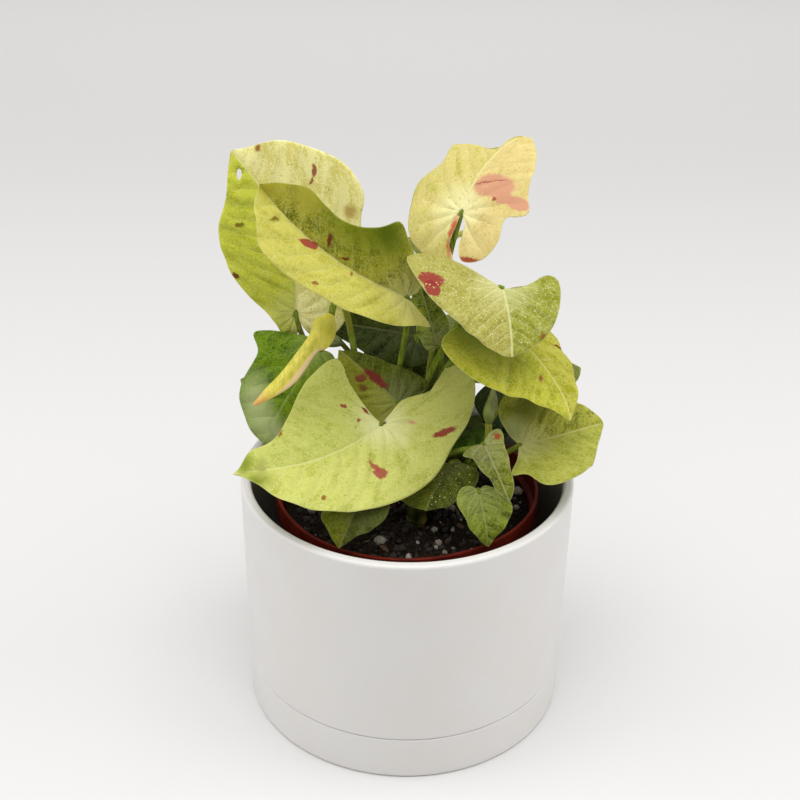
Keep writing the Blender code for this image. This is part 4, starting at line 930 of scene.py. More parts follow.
def ball(rings, sides):
    """A unit ball: rings at even latitudes, closed at both poles."""
    latitudes = np.linspace(0.5 * math.pi, -0.5 * math.pi, rings + 2)[1:-1]
    points, faces = skin(turned(np.stack([np.cos(latitudes), np.sin(latitudes)], axis=1), sides))
    points[-2:, 2] = (1, -1)
    return points, faces


def dome(rings, sides):
    """Half a ball with a flat, slightly sunk base, as a drop on a leaf."""
    turns = np.radians(np.linspace(DROP_TOP, 0, rings))
    path = np.vstack([np.stack([np.cos(turns), np.sin(turns)], axis=1), DROP_FOOT])
    points, faces = skin(turned(path, sides))
    points[-2, 2] = 1
    return points, faces


def copies(shapes, faces):
    """Points of many copies of one shape, with the shape's faces numbered for each copy."""
    first = np.arange(len(shapes))[:, None, None] * shapes.shape[1]
    return shapes.reshape(-1, 3), [(first + group[None]).reshape(-1, group.shape[1]) for group in faces]


def lumps(places, sizes, luck, rough):
    """Balls with each point pushed in or out by chance, stretched, turned and set on their places."""
    points, faces = ball(*LUMP_GRID)
    radial = 1 + rough * (luck.random((len(places), len(points), 1)) - 0.5)
    shape = points[None] * radial * sizes[:, None]
    return copies(np.einsum("nij,nkj->nki", turns_of(luck, len(places)), shape) + places[:, None], faces)


def stem_skin(place, top):
    """A stem: a round column with a domed top, and low rings where old leaves stood."""
    column = np.linspace(STEM_FOOT + GAP, top - STEM_DOME, STEM_ROWS)
    turn = np.radians(np.linspace(0, 90, DOME_ROWS + 1))[1:]
    rings = np.exp(-(((column + place[0]) % STEM_NODE_GAP - STEM_NODE_GAP / 2) ** 2) / STEM_NODE_SPREAD)
    height = np.concatenate([column, top - STEM_DOME * (1 - np.sin(turn))])
    dome_radii = np.maximum(STEM_RADIUS * np.cos(turn), STEM_TIP_RADIUS)
    radius = np.concatenate([STEM_RADIUS + STEM_NODE_RISE * (rings - 1), dome_radii])
    return skin(turned(np.stack([radius, height], axis=1), STEM_SIDES, place))


def midrib_frame(leaf):
    """The midrib as a curve, with its direction, side and normal at each of MIDRIB_STEPS + 1 stations.

    The curve's pitch and yaw change evenly along it, with the hook on its last third. It is then turned
    and sized so that it runs from the junction to the tip.
    """
    start = np.array(leaf.junction, float)
    reach = np.array(leaf.tip, float) - start
    ahead = units(reach)
    up = units(np.array([0, 0, 1.0]) - ahead * ahead[2])
    left = np.cross(up, ahead)
    roll = math.radians(leaf.roll)
    normal = up * math.cos(roll) - left * math.sin(roll)
    left = left * math.cos(roll) + up * math.sin(roll)
    along = np.linspace(0, 1, MIDRIB_STEPS + 1)
    pitch = np.radians(leaf.arch) * (0.5 - along)
    pitch -= np.radians(leaf.hook) * np.clip((along - HOOK_START) / (1 - HOOK_START), 0, 1) ** 2
    yaw = np.radians(leaf.sweep) * (along - 0.5)
    directions = np.stack([np.cos(pitch) * np.cos(yaw), np.cos(pitch) * np.sin(yaw), np.sin(pitch)], axis=1)
    sides = np.stack([-np.sin(yaw), np.cos(yaw), 0 * yaw], axis=1)
    steps = (directions[1:] + directions[:-1]) / 2 / MIDRIB_STEPS
    curve = np.vstack([np.zeros(3), np.cumsum(steps, axis=0)])
    chord = units(curve[-1])
    chord_up = units(np.array([0, 0, 1.0]) - chord * chord[2])
    turn = np.array([chord, np.cross(chord_up, chord), chord_up]).T @ np.array([ahead, left, normal])
    length = np.linalg.norm(reach) / np.linalg.norm(curve[-1])
    return {
        "start": start,
        "length": length,
        "along": along,
        "curve": curve * length @ turn,
        "ahead": directions @ turn,
        "side": sides @ turn,
        "normal": np.cross(directions, sides) @ turn,
    }


def bent(leaf, frame, half, flat, hand):
    """Bends a flat half blade into space.

    flat holds points as (along the midrib, out from it), and hand is 1 on the left, -1 on the right. Behind
    the junction the frame turns down along an arc. Across the blade the height is an arc that starts at the
    half's fold and turns by its curl. The twist turns each cross-section about the midrib.
    """
    along, out = flat.T
    share = np.clip(along / frame["length"], 0, 1)
    keys = ("curve", "ahead", "side", "normal")
    curve, ahead, side, normal = (resampled(share, frame["along"], frame[key]) for key in keys)
    beyond = np.clip(along - frame["length"], 0, None)
    bend = math.radians(half.droop) / DROOP_REACH + TINY
    down = (bend * np.clip(-along, 0, None))[:, None]
    middle = curve + (beyond[:, None] - np.sin(down) / bend) * ahead - (1 - np.cos(down)) / bend * normal
    normal = normal * np.cos(down) - ahead * np.sin(down)
    fold = math.radians(half.fold)
    curl = math.radians(half.curl) / CURL_SPAN + TINY
    across = hand * (np.sin(fold + curl * out) - math.sin(fold)) / curl
    height = (math.cos(fold) - np.cos(fold + curl * out)) / curl
    twist = math.radians(leaf.twist) * share
    sideways = across * np.cos(twist) - height * np.sin(twist)
    upward = across * np.sin(twist) + height * np.cos(twist)
    return frame["start"] + middle + sideways[:, None] * side + upward[:, None] * normal


def margin(points):
    """A centripetal Catmull-Rom spline through the margin's points, and the length up to each point."""
    given = np.asarray(points, float)
    ends = np.vstack([2 * given[0] - given[1], given, 2 * given[-1] - given[-2]])
    pieces = []
    for i in range(len(given) - 1):
        p0, p1, p2, p3 = ends[i : i + 4]
        t1 = math.sqrt(math.dist(p0, p1))
        t2 = t1 + math.sqrt(math.dist(p1, p2))
        t3 = t2 + math.sqrt(math.dist(p2, p3))
        t = np.linspace(t1, t2, MARGIN_STEPS, endpoint=False)[:, None]
        a1 = (t1 - t) / t1 * p0 + t / t1 * p1
        a2 = (t2 - t) / (t2 - t1) * p1 + (t - t1) / (t2 - t1) * p2
        a3 = (t3 - t) / (t3 - t2) * p2 + (t - t2) / (t3 - t2) * p3
        b1 = (t2 - t) / t2 * a1 + t / t2 * a2
        b2 = (t3 - t) / (t3 - t1) * a2 + (t - t1) / (t3 - t1) * a3
        pieces.append((t2 - t) / (t2 - t1) * b1 + (t - t1) / (t2 - t1) * b2)
    curve = np.vstack([*pieces, given[-1:]])
    steps = np.linalg.norm(np.diff(curve, axis=0), axis=1)
    return curve, np.concatenate([[0], np.cumsum(steps)])


def polar(points):
    """The direction of each point from the junction: 0 towards the tip, half a turn straight behind."""
    return np.mod(np.arctan2(points[:, 1], points[:, 0]), 2 * math.pi)


def lobe_turn(sinus, lobe):
    """The direction of the lobe's own vein: to the lobe's tip, or clear of a margin that bends inwards."""
    near = sinus[np.linalg.norm(sinus, axis=1) < VEIN_DEPTH * np.linalg.norm(lobe)]
    inmost = polar(near).min()
    straight = float(polar(lobe[None])[0])
    return straight if straight < inmost else inmost - math.radians(VEIN_CLEAR)


def half_grid(edge, length, curve, lengths, lobe_rows, rows, columns):
    """A flat half blade as a grid from its veins to its margin, which is given as a curve with its lengths.

    The inner line runs out along the lobe's vein and back, then along the midrib to the tip. The outer line
    is the margin: from the junction round the lobe's tip to the shoulder, then on to the tip.
    """
    lobe = edge[np.argmax(0.5 * edge[:, 1] - edge[:, 0])]
    lobe_at = int(np.argmin(np.linalg.norm(curve - lobe, axis=1)))
    angles = polar(curve)
    turn = lobe_turn(curve[1:lobe_at], lobe)
    lobe_at += int(np.argmax(angles[lobe_at:] <= turn))
    shoulder_at = lobe_at + int(np.argmax(angles[lobe_at:] < SHOULDER * turn))
    stops = [0, lengths[lobe_at], lengths[shoulder_at], lengths[-1]]
    counts = [lobe_rows, lobe_rows, rows]
    spans = [np.linspace(stops[i], stops[i + 1], counts[i] + 1)[1:] for i in range(3)]
    outer = resampled(np.concatenate([[0], *spans]), lengths, curve)
    out = np.linspace(0, 1, lobe_rows + 1)
    reach = VEIN_DEPTH * np.linalg.norm(curve[lobe_at])
    vein = np.outer(np.concatenate([out, out[-2::-1]]) * reach, [math.cos(turn), math.sin(turn)])
    rib = np.stack([np.linspace(0, length, rows + 1)[1:], np.zeros(rows)], axis=1)
    inner = np.vstack([vein, rib])
    share = np.linspace(0, 1, columns + 1)[None, :, None]
    return inner[:, None] * (1 - share) + outer[:, None] * share


def split(index, lobe_rows):
    """Two triangles for each cell of the grid, cut across the lobe's vein and never along it."""
    a, b, c, d = index[:-1, :-1], index[1:, :-1], index[1:, 1:], index[:-1, 1:]
    faces = [np.stack(corners, axis=-1)[:lobe_rows] for corners in ((a, b, d), (b, c, d))]
    faces += [np.stack(corners, axis=-1)[lobe_rows:] for corners in ((a, b, c), (a, c, d))]
    return np.vstack([part.reshape(-1, 3) for part in faces])


def vein_field(flat, gap, shift):
    """For points of a flat half blade: which side vein they are by, and the space between veins there.

    Ahead of the junction veins are the lines u = x - slope a - bend a^2, one every gap. Behind it they fan
    out of the junction, one every FAN_STEP of turn. The number is whole on each vein.
    """
    x, a = flat.T
    u = x - VEIN_SLOPE * a - VEIN_BEND * a * a
    ahead = gap / np.sqrt(1 + (VEIN_SLOPE + 2 * VEIN_BEND * a) ** 2)
    radius = np.hypot(x, a)
    first = np.arctan2(1, VEIN_SLOPE + VEIN_BEND * radius * math.cos(math.atan(VEIN_SLOPE)))
    number = np.where(u >= 0, u / gap, -(polar(flat) - first) / FAN_STEP)
    space = np.where(u >= 0, ahead, FAN_STEP * radius)
    return number + shift * rise(u, 0.5 * gap, 1.5 * gap), space


def vein_gap(length):
    """The space between side veins on a blade of this length."""
    return VEIN_GAP if length > LARGE_LEAF else SMALL_VEIN_GAP


def pierced(flat, faces, holes, hand):
    """A flat half blade with its holes: points near one move onto its ellipse, and the faces inside go."""
    for x, y, long, wide, turn in holes:
        if y * hand <= 0:
            continue
        angle = math.radians(turn) * hand
        axes = np.array([[math.cos(angle), -math.sin(angle)], [math.sin(angle), math.cos(angle)]])
        middle = np.array([x, abs(y)])
        within = (flat - middle) @ axes / (long, wide)
        away = np.linalg.norm(within, axis=1)
        near = (away > HOLE_PULL[0]) & (away < HOLE_PULL[1])
        flat[near] = middle + (within[near] / away[near, None] * (long, wide)) @ axes.T
        away[near] = 1
        faces = faces[~np.all(away[faces] <= 1, axis=1)]
    return faces


def half_blade(leaf, frame, half, hand, look):
    """A half blade's grid in space, with what the relief and the material need at each point.

    vein: the nearest side vein's number, the space between veins, and the share of the way from the midrib
    or the lobe's vein to the margin. rim: the distance to the margin.
    """
    length = frame["length"]
    lobe_rows, rows, columns = LARGE_GRID if length > LARGE_LEAF else SMALL_GRID
    curve, lengths = margin([(0, 0), *half.edge, (length, 0)])
    grid = half_grid(np.asarray(half.edge, float), length, curve, lengths, lobe_rows, rows, columns)
    flat = grid.reshape(-1, 2)
    index = np.arange(len(flat)).reshape(grid.shape[:2])
    faces = pierced(flat, split(index, lobe_rows), look.holes, hand)
    edge = resampled(np.linspace(0, lengths[-1], RIM_POINTS), lengths, curve)
    rim = np.sqrt(((flat[:, None] - edge[None]) ** 2).sum(axis=2).min(axis=1))
    rim[index[:, -1]] = 0
    number, space = vein_field(flat, vein_gap(length), VEIN_SHIFT if hand == 1 else 0.0)
    share = np.tile(np.linspace(0, 1, columns + 1), len(grid))
    return {
        "points": bent(leaf, frame, half, flat, hand),
        "faces": faces if hand == 1 else faces[:, ::-1],
        "flat": np.stack([flat[:, 0], hand * flat[:, 1], 0 * flat[:, 0]], axis=1),
        "vein": np.stack([number, space, share], axis=1),
        "rim": rim,
    }


def blade_sheet(leaf, look):
    """Both halves as one sheet: the points they share made one, and a normal at each point.

    A normal is the sum of the normals of the faces that meet there.
    """
    frame = midrib_frame(leaf)
    halves = [half_blade(leaf, frame, side, hand, look) for side, hand in ((leaf.left, 1), (leaf.right, -1))]
    faces = np.vstack([halves[0]["faces"], halves[1]["faces"] + len(halves[0]["points"])])
    sheet = {key: np.concatenate([side[key] for side in halves]) for key in ("points", "flat", "vein", "rim")}
    near = np.round(sheet["points"], POINT_DIGITS)
    _, kept, index = np.unique(near, axis=0, return_index=True, return_inverse=True)
    sheet = {key: value[kept] for key, value in sheet.items()}
    faces = index.reshape(-1)[faces]
    sheet["faces"] = faces[np.all(faces != np.roll(faces, 1, axis=1), axis=1)]
    a, b, c = sheet["points"][sheet["faces"]].transpose(1, 0, 2)
    normals = np.zeros_like(sheet["points"])
    for corner in range(3):
        np.add.at(normals, sheet["faces"][:, corner], np.cross(b - a, c - a))
    sheet["normals"] = normals / (np.linalg.norm(normals, axis=1)[:, None] + TINY)
    sheet["frame"] = frame
    return sheet


def blade_relief(sheet, quilt):
    """How far the top and the underside stand off the sheet, on the thickness side of it.

    Between two side veins the blade swells by sin^2 of half a turn per vein, fading at the junction and the
    margin. A side vein and the midrib are narrow valleys on top, and the midrib is a rib below. The margin
    waves once in about two veins.
    """
    length = sheet["frame"]["length"]
    x, y = sheet["flat"][:, 0], np.abs(sheet["flat"][:, 1])
    number, space, share = sheet["vein"].T
    apart = np.abs(number - np.round(number)) * space
    fade = np.clip(1 - share**4, 0, 1) * np.minimum(1, y / SWELL_START)
    swell = quilt * (vein_gap(length) / VEIN_GAP) * np.sin(math.pi * number) ** 2 * fade
    valley = -VALLEY_DEPTH * np.exp(-((apart / VALLEY_WIDTH) ** 2)) * (1 - share) ** 0.5
    out = rise(np.hypot(x, y), 0, RELIEF_START)
    midrib = np.exp(-((y / MIDRIB_WIDTH) ** 2)) * np.sqrt(np.clip(1 - x / length, 0, 1))
    midrib = midrib * rise(x, *MIDRIB_START)
    wave = MARGIN_WAVE * np.sin(2 * math.pi * (WAVES_A_VEIN * number + WAVE_SHIFT)) * share**3
    return (swell + valley) * out - GROOVE_DEPTH * midrib + wave, swell * out + wave - MIDRIB_RISE * midrib


def blade_skin(sheet, thickness, quilt):
    """A blade's two sides and rim: the sheet moved along its normals by half its thickness and relief."""
    top, below = blade_relief(sheet, quilt)
    half = 0.5 * (RIM_THICKNESS + (thickness - RIM_THICKNESS) * rise(sheet["rim"], 0, RIM_TAPER))
    upper = sheet["points"] + sheet["normals"] * (half + top)[:, None]
    lower = sheet["points"] + sheet["normals"] * (below - half)[:, None]
    faces = sheet["faces"]
    count = len(upper)
    start = faces.reshape(-1)
    end = np.roll(faces, -1, axis=1).reshape(-1)
    alone = ~np.isin(start * count + end, end * count + start)
    a, b = start[alone], end[alone]
    rim = np.stack([a, a + count, b + count, b], axis=1)
    return np.vstack([upper, lower]), [faces, faces[:, ::-1] + count, rim]


def tube_rings(path, radii, sides):
    """Rings square to a path, turned alike: side = plane's normal x ahead, up = ahead x side."""
    ahead = units(np.gradient(path, axis=0))
    plane = np.linalg.svd(path - path.mean(axis=0))[2][2]
    side = units(np.cross(plane, ahead))
    up = np.cross(ahead, side)
    turns = full_turn(sides)[None, :, None]
    around = side[:, None] * np.cos(turns) + up[:, None] * np.sin(turns)
    return path[:, None] + radii[:, None, None] * around


def petiole_line(stalk, junction, thin):
    """A petiole's middle line and radii, thick in its first part, and by thin less at its end.

    The line is the Bezier curve b0 (1-t)^3 + 3 b1 t (1-t)^2 + 3 b2 t^2 (1-t) + b3 t^3 from its stem to the
    junction.
    """
    (x, y), _ = STEMS[stalk.stem]
    turn = math.radians(stalk.side)
    reach = STEM_RADIUS + STALK_RADIUS + STALK_GAP
    foot = np.array([x + reach * math.cos(turn), y + reach * math.sin(turn), stalk.height])
    first, second = (np.array(bend, float) for bend in stalk.bends)
    share = np.linspace(0, 1, PETIOLE_STEPS)
    sheath = (SHEATH_RADIUS - STALK_RADIUS) * (1 - rise(share, 0, SHEATH_SHARE))
    t = share[:, None]
    top = np.array(junction, float)
    path = foot * (1 - t) ** 3 + 3 * second * t * (1 - t) ** 2 + 3 * first * t**2 * (1 - t) + top * t**3
    return path, STALK_RADIUS - thin * share + sheath


def petiole_skin(leaf, frame):
    """The petiole: a tube along its line, then on under the midrib to a point."""
    path, radii = petiole_line(leaf.stalk, leaf.junction, STALK_THINNING)
    along = np.linspace(0, RIB_REACH, RIB_STEPS + 1)[1:]
    middle, normal = (resampled(along, frame["along"], frame[key]) for key in ("curve", "normal"))
    rib_radii = RIB_END_RADIUS + (radii[-1] - RIB_END_RADIUS) * (1 - along / RIB_REACH) ** 1.5
    rib = frame["start"] + middle - normal * (rib_radii + RIB_SINK)[:, None]
    return skin(tube_rings(np.vstack([path, rib]), np.concatenate([radii, rib_radii]), PETIOLE_SIDES))


def spline(given, steps):
    """A smooth line through the rows: for each span, the cubic that leaves and meets its rows' slopes."""
    slopes = np.gradient(given, axis=0)
    t = np.linspace(0, 1, steps, endpoint=False)[None, :, None]
    start, end = given[:-1, None], given[1:, None]
    leave, meet = slopes[:-1, None], slopes[1:, None]
    t2, t3 = t * t, t * t * t
    spans = start * (2 * t3 - 3 * t2 + 1) + leave * (t3 - 2 * t2 + t)
    spans = spans + end * (3 * t2 - 2 * t3) + meet * (t3 - t2)
    return np.vstack([spans.reshape(-1, given.shape[1]), given[-1:]])


def roll_skin(roll):
    """A rolled leaf: a tube along its middle line whose radius grows round it, so that an edge overlaps.

    The radius is R (1 + overlap (f - 0.5) + flap), where f is the share of a turn from a seam that winds up
    the roll. The flap is a fin towards FLAP_WAY, a bell along the roll, and its share is given back too.
    """
    line = spline(np.column_stack([np.array(roll.points, float), roll.radii]), ROLL_STEPS)
    middle = line[:, None, :3]
    out = tube_rings(line[:, :3], line[:, 3], ROLL_SIDES) - middle
    along = np.linspace(0, 1, len(line))[:, None]
    share = np.mod(np.linspace(0, 1, ROLL_SIDES, endpoint=False)[None] + ROLL_WIND * along, 1)
    toward = units(out) @ units(np.array(FLAP_WAY))
    fin = rise(toward, FLAP_STEEP, 1) * np.exp(-(((along - FLAP_MIDDLE) / FLAP_REACH) ** 2))
    lift = 1 + ROLL_OVERLAP * (share - 0.5) * rise(share, 0, ROLL_SEAM) + FLAP_OUT * fin
    return skin(middle + out * lift[..., None]), np.append(fin.reshape(-1), (0, 0))


def drop_skin(sheet, look, share, luck):
    """Drops on a blade: domes on chance points of its faces, upright on the blade."""
    count, x0, x1, y0, y1 = look.drops
    count = int(count * share)
    a, b, c = sheet["points"][sheet["faces"]].transpose(1, 0, 2)
    area = 0.5 * np.linalg.norm(np.cross(b - a, c - a), axis=1)
    x, y, _ = sheet["flat"][sheet["faces"]].mean(axis=1).T
    rim = sheet["rim"][sheet["faces"]].min(axis=1)
    chance = area * ((x > x0) & (x < x1) & (y > y0) & (y < y1) & (rim > DROP_RIM_GAP))
    chosen = luck.choice(len(area), count, p=chance / chance.sum())
    weights = luck.dirichlet((1, 1, 1), count)[..., None]
    top, _ = blade_relief(sheet, QUILT_HEIGHT)
    surface = sheet["points"] + sheet["normals"] * (top + DROP_LIFT)[:, None]
    place = (surface[sheet["faces"][chosen]] * weights).sum(axis=1)
    normal = sheet["normals"][sheet["faces"][chosen, 0]]
    radius = DROP_SMALL + (DROP_LARGE - DROP_SMALL) * luck.random(count) ** 3
    side = units(np.cross(normal, DROP_WAY))
    axes = np.stack([side, np.cross(normal, side), normal * DROP_HEIGHT], axis=1)
    points, faces = dome(*DROP_GRID)
    return copies(np.einsum("kj,nji->nki", points, axes) * radius[:, None, None] + place[:, None], faces)


class Finish:
    """A node material with a Principled shader, and the steps that work out its colours and relief."""

    def __init__(self, name):
        self.material = bpy.data.materials.get(name) or bpy.data.materials.new(name)
        self.material.use_nodes = True
        self.tree = self.material.node_tree
        self.tree.nodes.clear()
        self.shader = self.node("BsdfPrincipled")
        output = self.node("OutputMaterial")
        self.tree.links.new(self.shader.outputs["BSDF"], output.inputs["Surface"])

    def feed(self, socket, value):
        """Links a node's output to a socket, or sets the socket to a number, vector or colour."""
        if isinstance(value, bpy.types.NodeSocket):
            self.tree.links.new(value, socket)
        else:
            socket.default_value = (*value, 1) if socket.type == "RGBA" else value

    def node(self, kind, inputs=(), **settings):
        """A new node with its settings, and its inputs fed by (name or number, value) pairs."""
        node = self.tree.nodes.new(f"ShaderNode{kind}")
        for key, value in settings.items():
            setattr(node, key, value)
        for key, value in inputs:
            self.feed(node.inputs[key], value)
        return node

    def count(self, operation, *values):
        """One step of arithmetic on numbers."""
        return self.node("Math", enumerate(values), operation=operation).outputs[0]

    def times(self, first, *others):
        for other in others:
            first = self.count("MULTIPLY", first, other)
        return first

    def plus(self, first, second):
        return self.count("ADD", first, second)

    def minus(self, first, second):
        return self.count("SUBTRACT", first, second)

    def vector(self, operation, *values, scale=None):
        """One step of arithmetic on vectors."""
        inputs = [*enumerate(values), *([] if scale is None else [("Scale", scale)])]
        node = self.node("VectorMath", inputs, operation=operation)
        return node.outputs["Value" if operation == "LENGTH" else "Vector"]

    def in_millimetres(self):
        """Object coordinates, in millimetres."""
        return self.vector("SCALE", self.node("TexCoord").outputs["Object"], scale=1 / MM)

    def parts(self, vector):
        """A vector's three numbers."""
        return self.node("SeparateXYZ", [(0, vector)]).outputs

    def whole(self, *numbers):
        """A vector of up to three numbers."""
        return self.node("CombineXYZ", enumerate(numbers)).outputs[0]

    def ease(self, value, low, high, start=0.0, end=1.0):
        """A smooth change from start to end as the value goes from low to high."""
        if low > high:
            low, high, start, end = high, low, end, start
        inputs = [("Value", value), ("From Min", low), ("From Max", high), ("To Min", start), ("To Max", end)]
        return self.node("MapRange", inputs, interpolation_type="SMOOTHSTEP").outputs["Result"]

    def mix(self, share, under, over):
        """One colour laid over another by a share from 0 to 1."""
        inputs = [("Factor", share), ("A", under), ("B", over)]
        return self.node("Mix", inputs, data_type="RGBA", clamp_factor=True).outputs["Result"]

    def cloudy(self, place, scale, detail=3.0, rough=0.55, which="Fac"):
        """Soft noise over a place, at so many waves a unit."""
        inputs = [("Vector", place), ("Scale", scale), ("Detail", detail), ("Roughness", rough)]
        return self.node("TexNoise", inputs).outputs[which]

    def cells(self, place, scale, feature="F1", which="Distance"):
        """Chance cells over a place: the distance to their middles or edges, or their own colours."""
        return self.node("TexVoronoi", [("Vector", place), ("Scale", scale)], feature=feature).outputs[which]

    def stretched(self, place, scale, turn=0.0, shift=(0, 0, 0), kind="POINT"):
        """A place moved, turned and scaled."""
        turn = (0, 0, math.radians(turn))
        inputs = [("Vector", place), ("Location", shift), ("Rotation", turn), ("Scale", scale)]
        return self.node("Mapping", inputs, vector_type=kind).outputs["Vector"]

    def stored(self, name, which="Vector"):
        """A value that was stored at the mesh's points."""
        return self.node("Attribute", attribute_name=name).outputs[which]

    def set(self, **values):
        """Sets the shader's sockets, whose names have _ for each space."""
        for key, value in values.items():
            self.feed(self.shader.inputs[key.replace("_", " ")], value)

    def glow(self):
        """The light that a thin green leaf or stalk lets through."""
        self.set(Subsurface_Weight=LEAF_GLOW, Subsurface_Radius=GLOW_RADIUS, Subsurface_Scale=MM)

    def done(self, tone, rough, height, strength, depth):
        """Sets the colour, the roughness and the relief: its strength from 0 to 1, its depth in mm."""
        inputs = [("Strength", strength), ("Distance", depth * MM), ("Height", height)]
        self.set(Base_Color=tone, Roughness=rough, Normal=self.node("Bump", inputs).outputs["Normal"])
        return self.material


def glaze_material(name, color):
    """Satin white glaze: a soft sheen, faint clouds, tiny pits, and painted shade, a darker grey, inside
    below the rim.
    """
    glaze = Finish(name)
    place = glaze.in_millimetres()
    fine = glaze.cloudy(place, 0.9, 4)
    tone = glaze.mix(glaze.ease(glaze.cloudy(place, 0.035, 3), 0.3, 0.75), color, GLAZE_SHADE)
    pits = glaze.ease(glaze.cells(place, 0.28), 0.10, 0.16, 1, 0)
    rare = glaze.ease(glaze.cloudy(place, 0.11, 1), 0.62, 0.7)
    tone = glaze.mix(glaze.times(pits, rare, 0.35), tone, GLAZE_PIT)
    # Painted shade: the inside of the wall below the rim is made a darker grey
    x, y, z = glaze.parts(place)
    inside = PLANTER_RIM_RADIUS - PLANTER_WALL
    inner = glaze.ease(glaze.vector("LENGTH", glaze.whole(x, y)), inside, inside + 0.6, 1, 0)
    low = glaze.ease(z, INSIDE_SHADE_TOP, INSIDE_SHADE_TOP + 2.0, 1, 0)
    tone = glaze.mix(glaze.times(inner, low), tone, INSIDE_SHADE_COLOR)
    glaze.set(Coat_Weight=0.12, Coat_Roughness=0.25)
    waves = glaze.plus(glaze.cloudy(place, 0.08, 2), glaze.times(fine, 0.12))
    height = glaze.minus(waves, glaze.times(pits, 0.1))
    return glaze.done(tone, glaze.ease(fine, 0.3, 0.7, 0.36, 0.46), height, 0.12, 0.25)


def plastic_material(name, color):
    """Thin moulded plastic: brick red in two tones, scuffed, with a faint grain and patches of soil dust."""
    plastic = Finish(name)
    place = plastic.in_millimetres()
    cloud = plastic.cloudy(place, 0.12, 4)
    grain = plastic.cloudy(place, 2.5, 3)
    tone = plastic.mix(plastic.ease(cloud, 0.35, 0.7), color, tuple(PLASTIC_DEEP * value for value in color))
    dust = plastic.ease(plastic.cloudy(place, 0.5, 5, 0.7), 0.52, 0.68)
    tone = plastic.mix(plastic.times(dust, 0.45), tone, DUST_COLOR)
    plastic.set(Specular_IOR_Level=LEAF_GLOSS)
    return plastic.done(tone, plastic.ease(grain, 0.3, 0.7, 0.38, 0.6), grain, 0.2, 0.15)


def soil_material(name, color):
    """Moist potting soil: near-black, with brown fibres, damp dark patches, and pale grains of its own."""
    soil = Finish(name)
    place = soil.in_millimetres()
    coarse = soil.cloudy(place, 0.35, 6, 0.65)
    fine = soil.cloudy(place, 2.2, 5, 0.7)
    tone = soil.mix(soil.ease(coarse, 0.4, 0.65), color, SOIL_BROWN)
    fibre = soil.cloudy(soil.stretched(place, (0.5, 4.0, 1.5), 34), 0.8, 4)
    tone = soil.mix(soil.times(soil.ease(fibre, 0.6, 0.68), 0.7), tone, SOIL_FIBRE)
    grain = soil.ease(soil.cells(place, 0.9), 0.12, 0.2, 1, 0)
    tone = soil.mix(soil.times(grain, 0.35), tone, PERLITE_COLOR)
    soil.set(Specular_IOR_Level=LEAF_GLOSS)
    height = soil.plus(coarse, soil.times(fine, 0.6))
    return soil.done(tone, soil.ease(coarse, 0.3, 0.7, 0.6, 0.95), height, 0.9, 1.2)


def grain_material(name, light, dark, rough):
    """Crumbs and grains: each cell of space has its own tone between light and dark, with a rough face."""
    grain = Finish(name)
    place = grain.in_millimetres()
    fine = grain.cloudy(place, 3.0, 4, 0.7)
    own = grain.cells(place, 0.35, which="Color")
    share = grain.plus(grain.times(own, 0.6), grain.times(fine, 0.5))
    tone = grain.mix(share, light, dark)
    return grain.done(tone, grain.ease(fine, 0.3, 0.7, rough - 0.12, rough + 0.05), fine, 0.7, 0.4)


def stalk_material(name, light, deep):
    """A petiole or stem: pale green, streaked along its length, with fine pale dots and a waxy sheen."""
    stalk = Finish(name)
    place = stalk.in_millimetres()
    streak = stalk.cloudy(stalk.stretched(place, (1.6, 1.6, 0.12)), 0.9, 4)
    tone = stalk.mix(stalk.ease(streak, 0.4, 0.62), light, deep)
    blush = stalk.ease(stalk.cloudy(place, 0.09, 2), 0.45, 0.65)
    tone = stalk.mix(stalk.times(blush, 0.45), tone, STALK_BLUSH)
    dots = stalk.ease(stalk.cells(place, 1.3), 0.1, 0.18, 1, 0)
    tone = stalk.mix(stalk.times(dots, 0.4), tone, STALK_DOT)
    stalk.set(Specular_IOR_Level=LEAF_GLOSS)
    stalk.glow()
    return stalk.done(tone, stalk.ease(streak, 0.3, 0.7, 0.34, 0.5), streak, 0.3, 0.3)


def drop_material(name):
    """Drops of water: glossy, and pale all over as a painted highlight, since they are too small to see
    through.
    """
    water = Finish(name)
    rough = water.ease(water.cloudy(water.in_millimetres(), 0.5, 2), 0.3, 0.7, 0.0, 0.06)
    # The pale base colour is a painted highlight
    water.set(Base_Color=DROP_HIGHLIGHT_COLOR, Transmission_Weight=0.15, IOR=1.33, Roughness=rough)
    return water.material


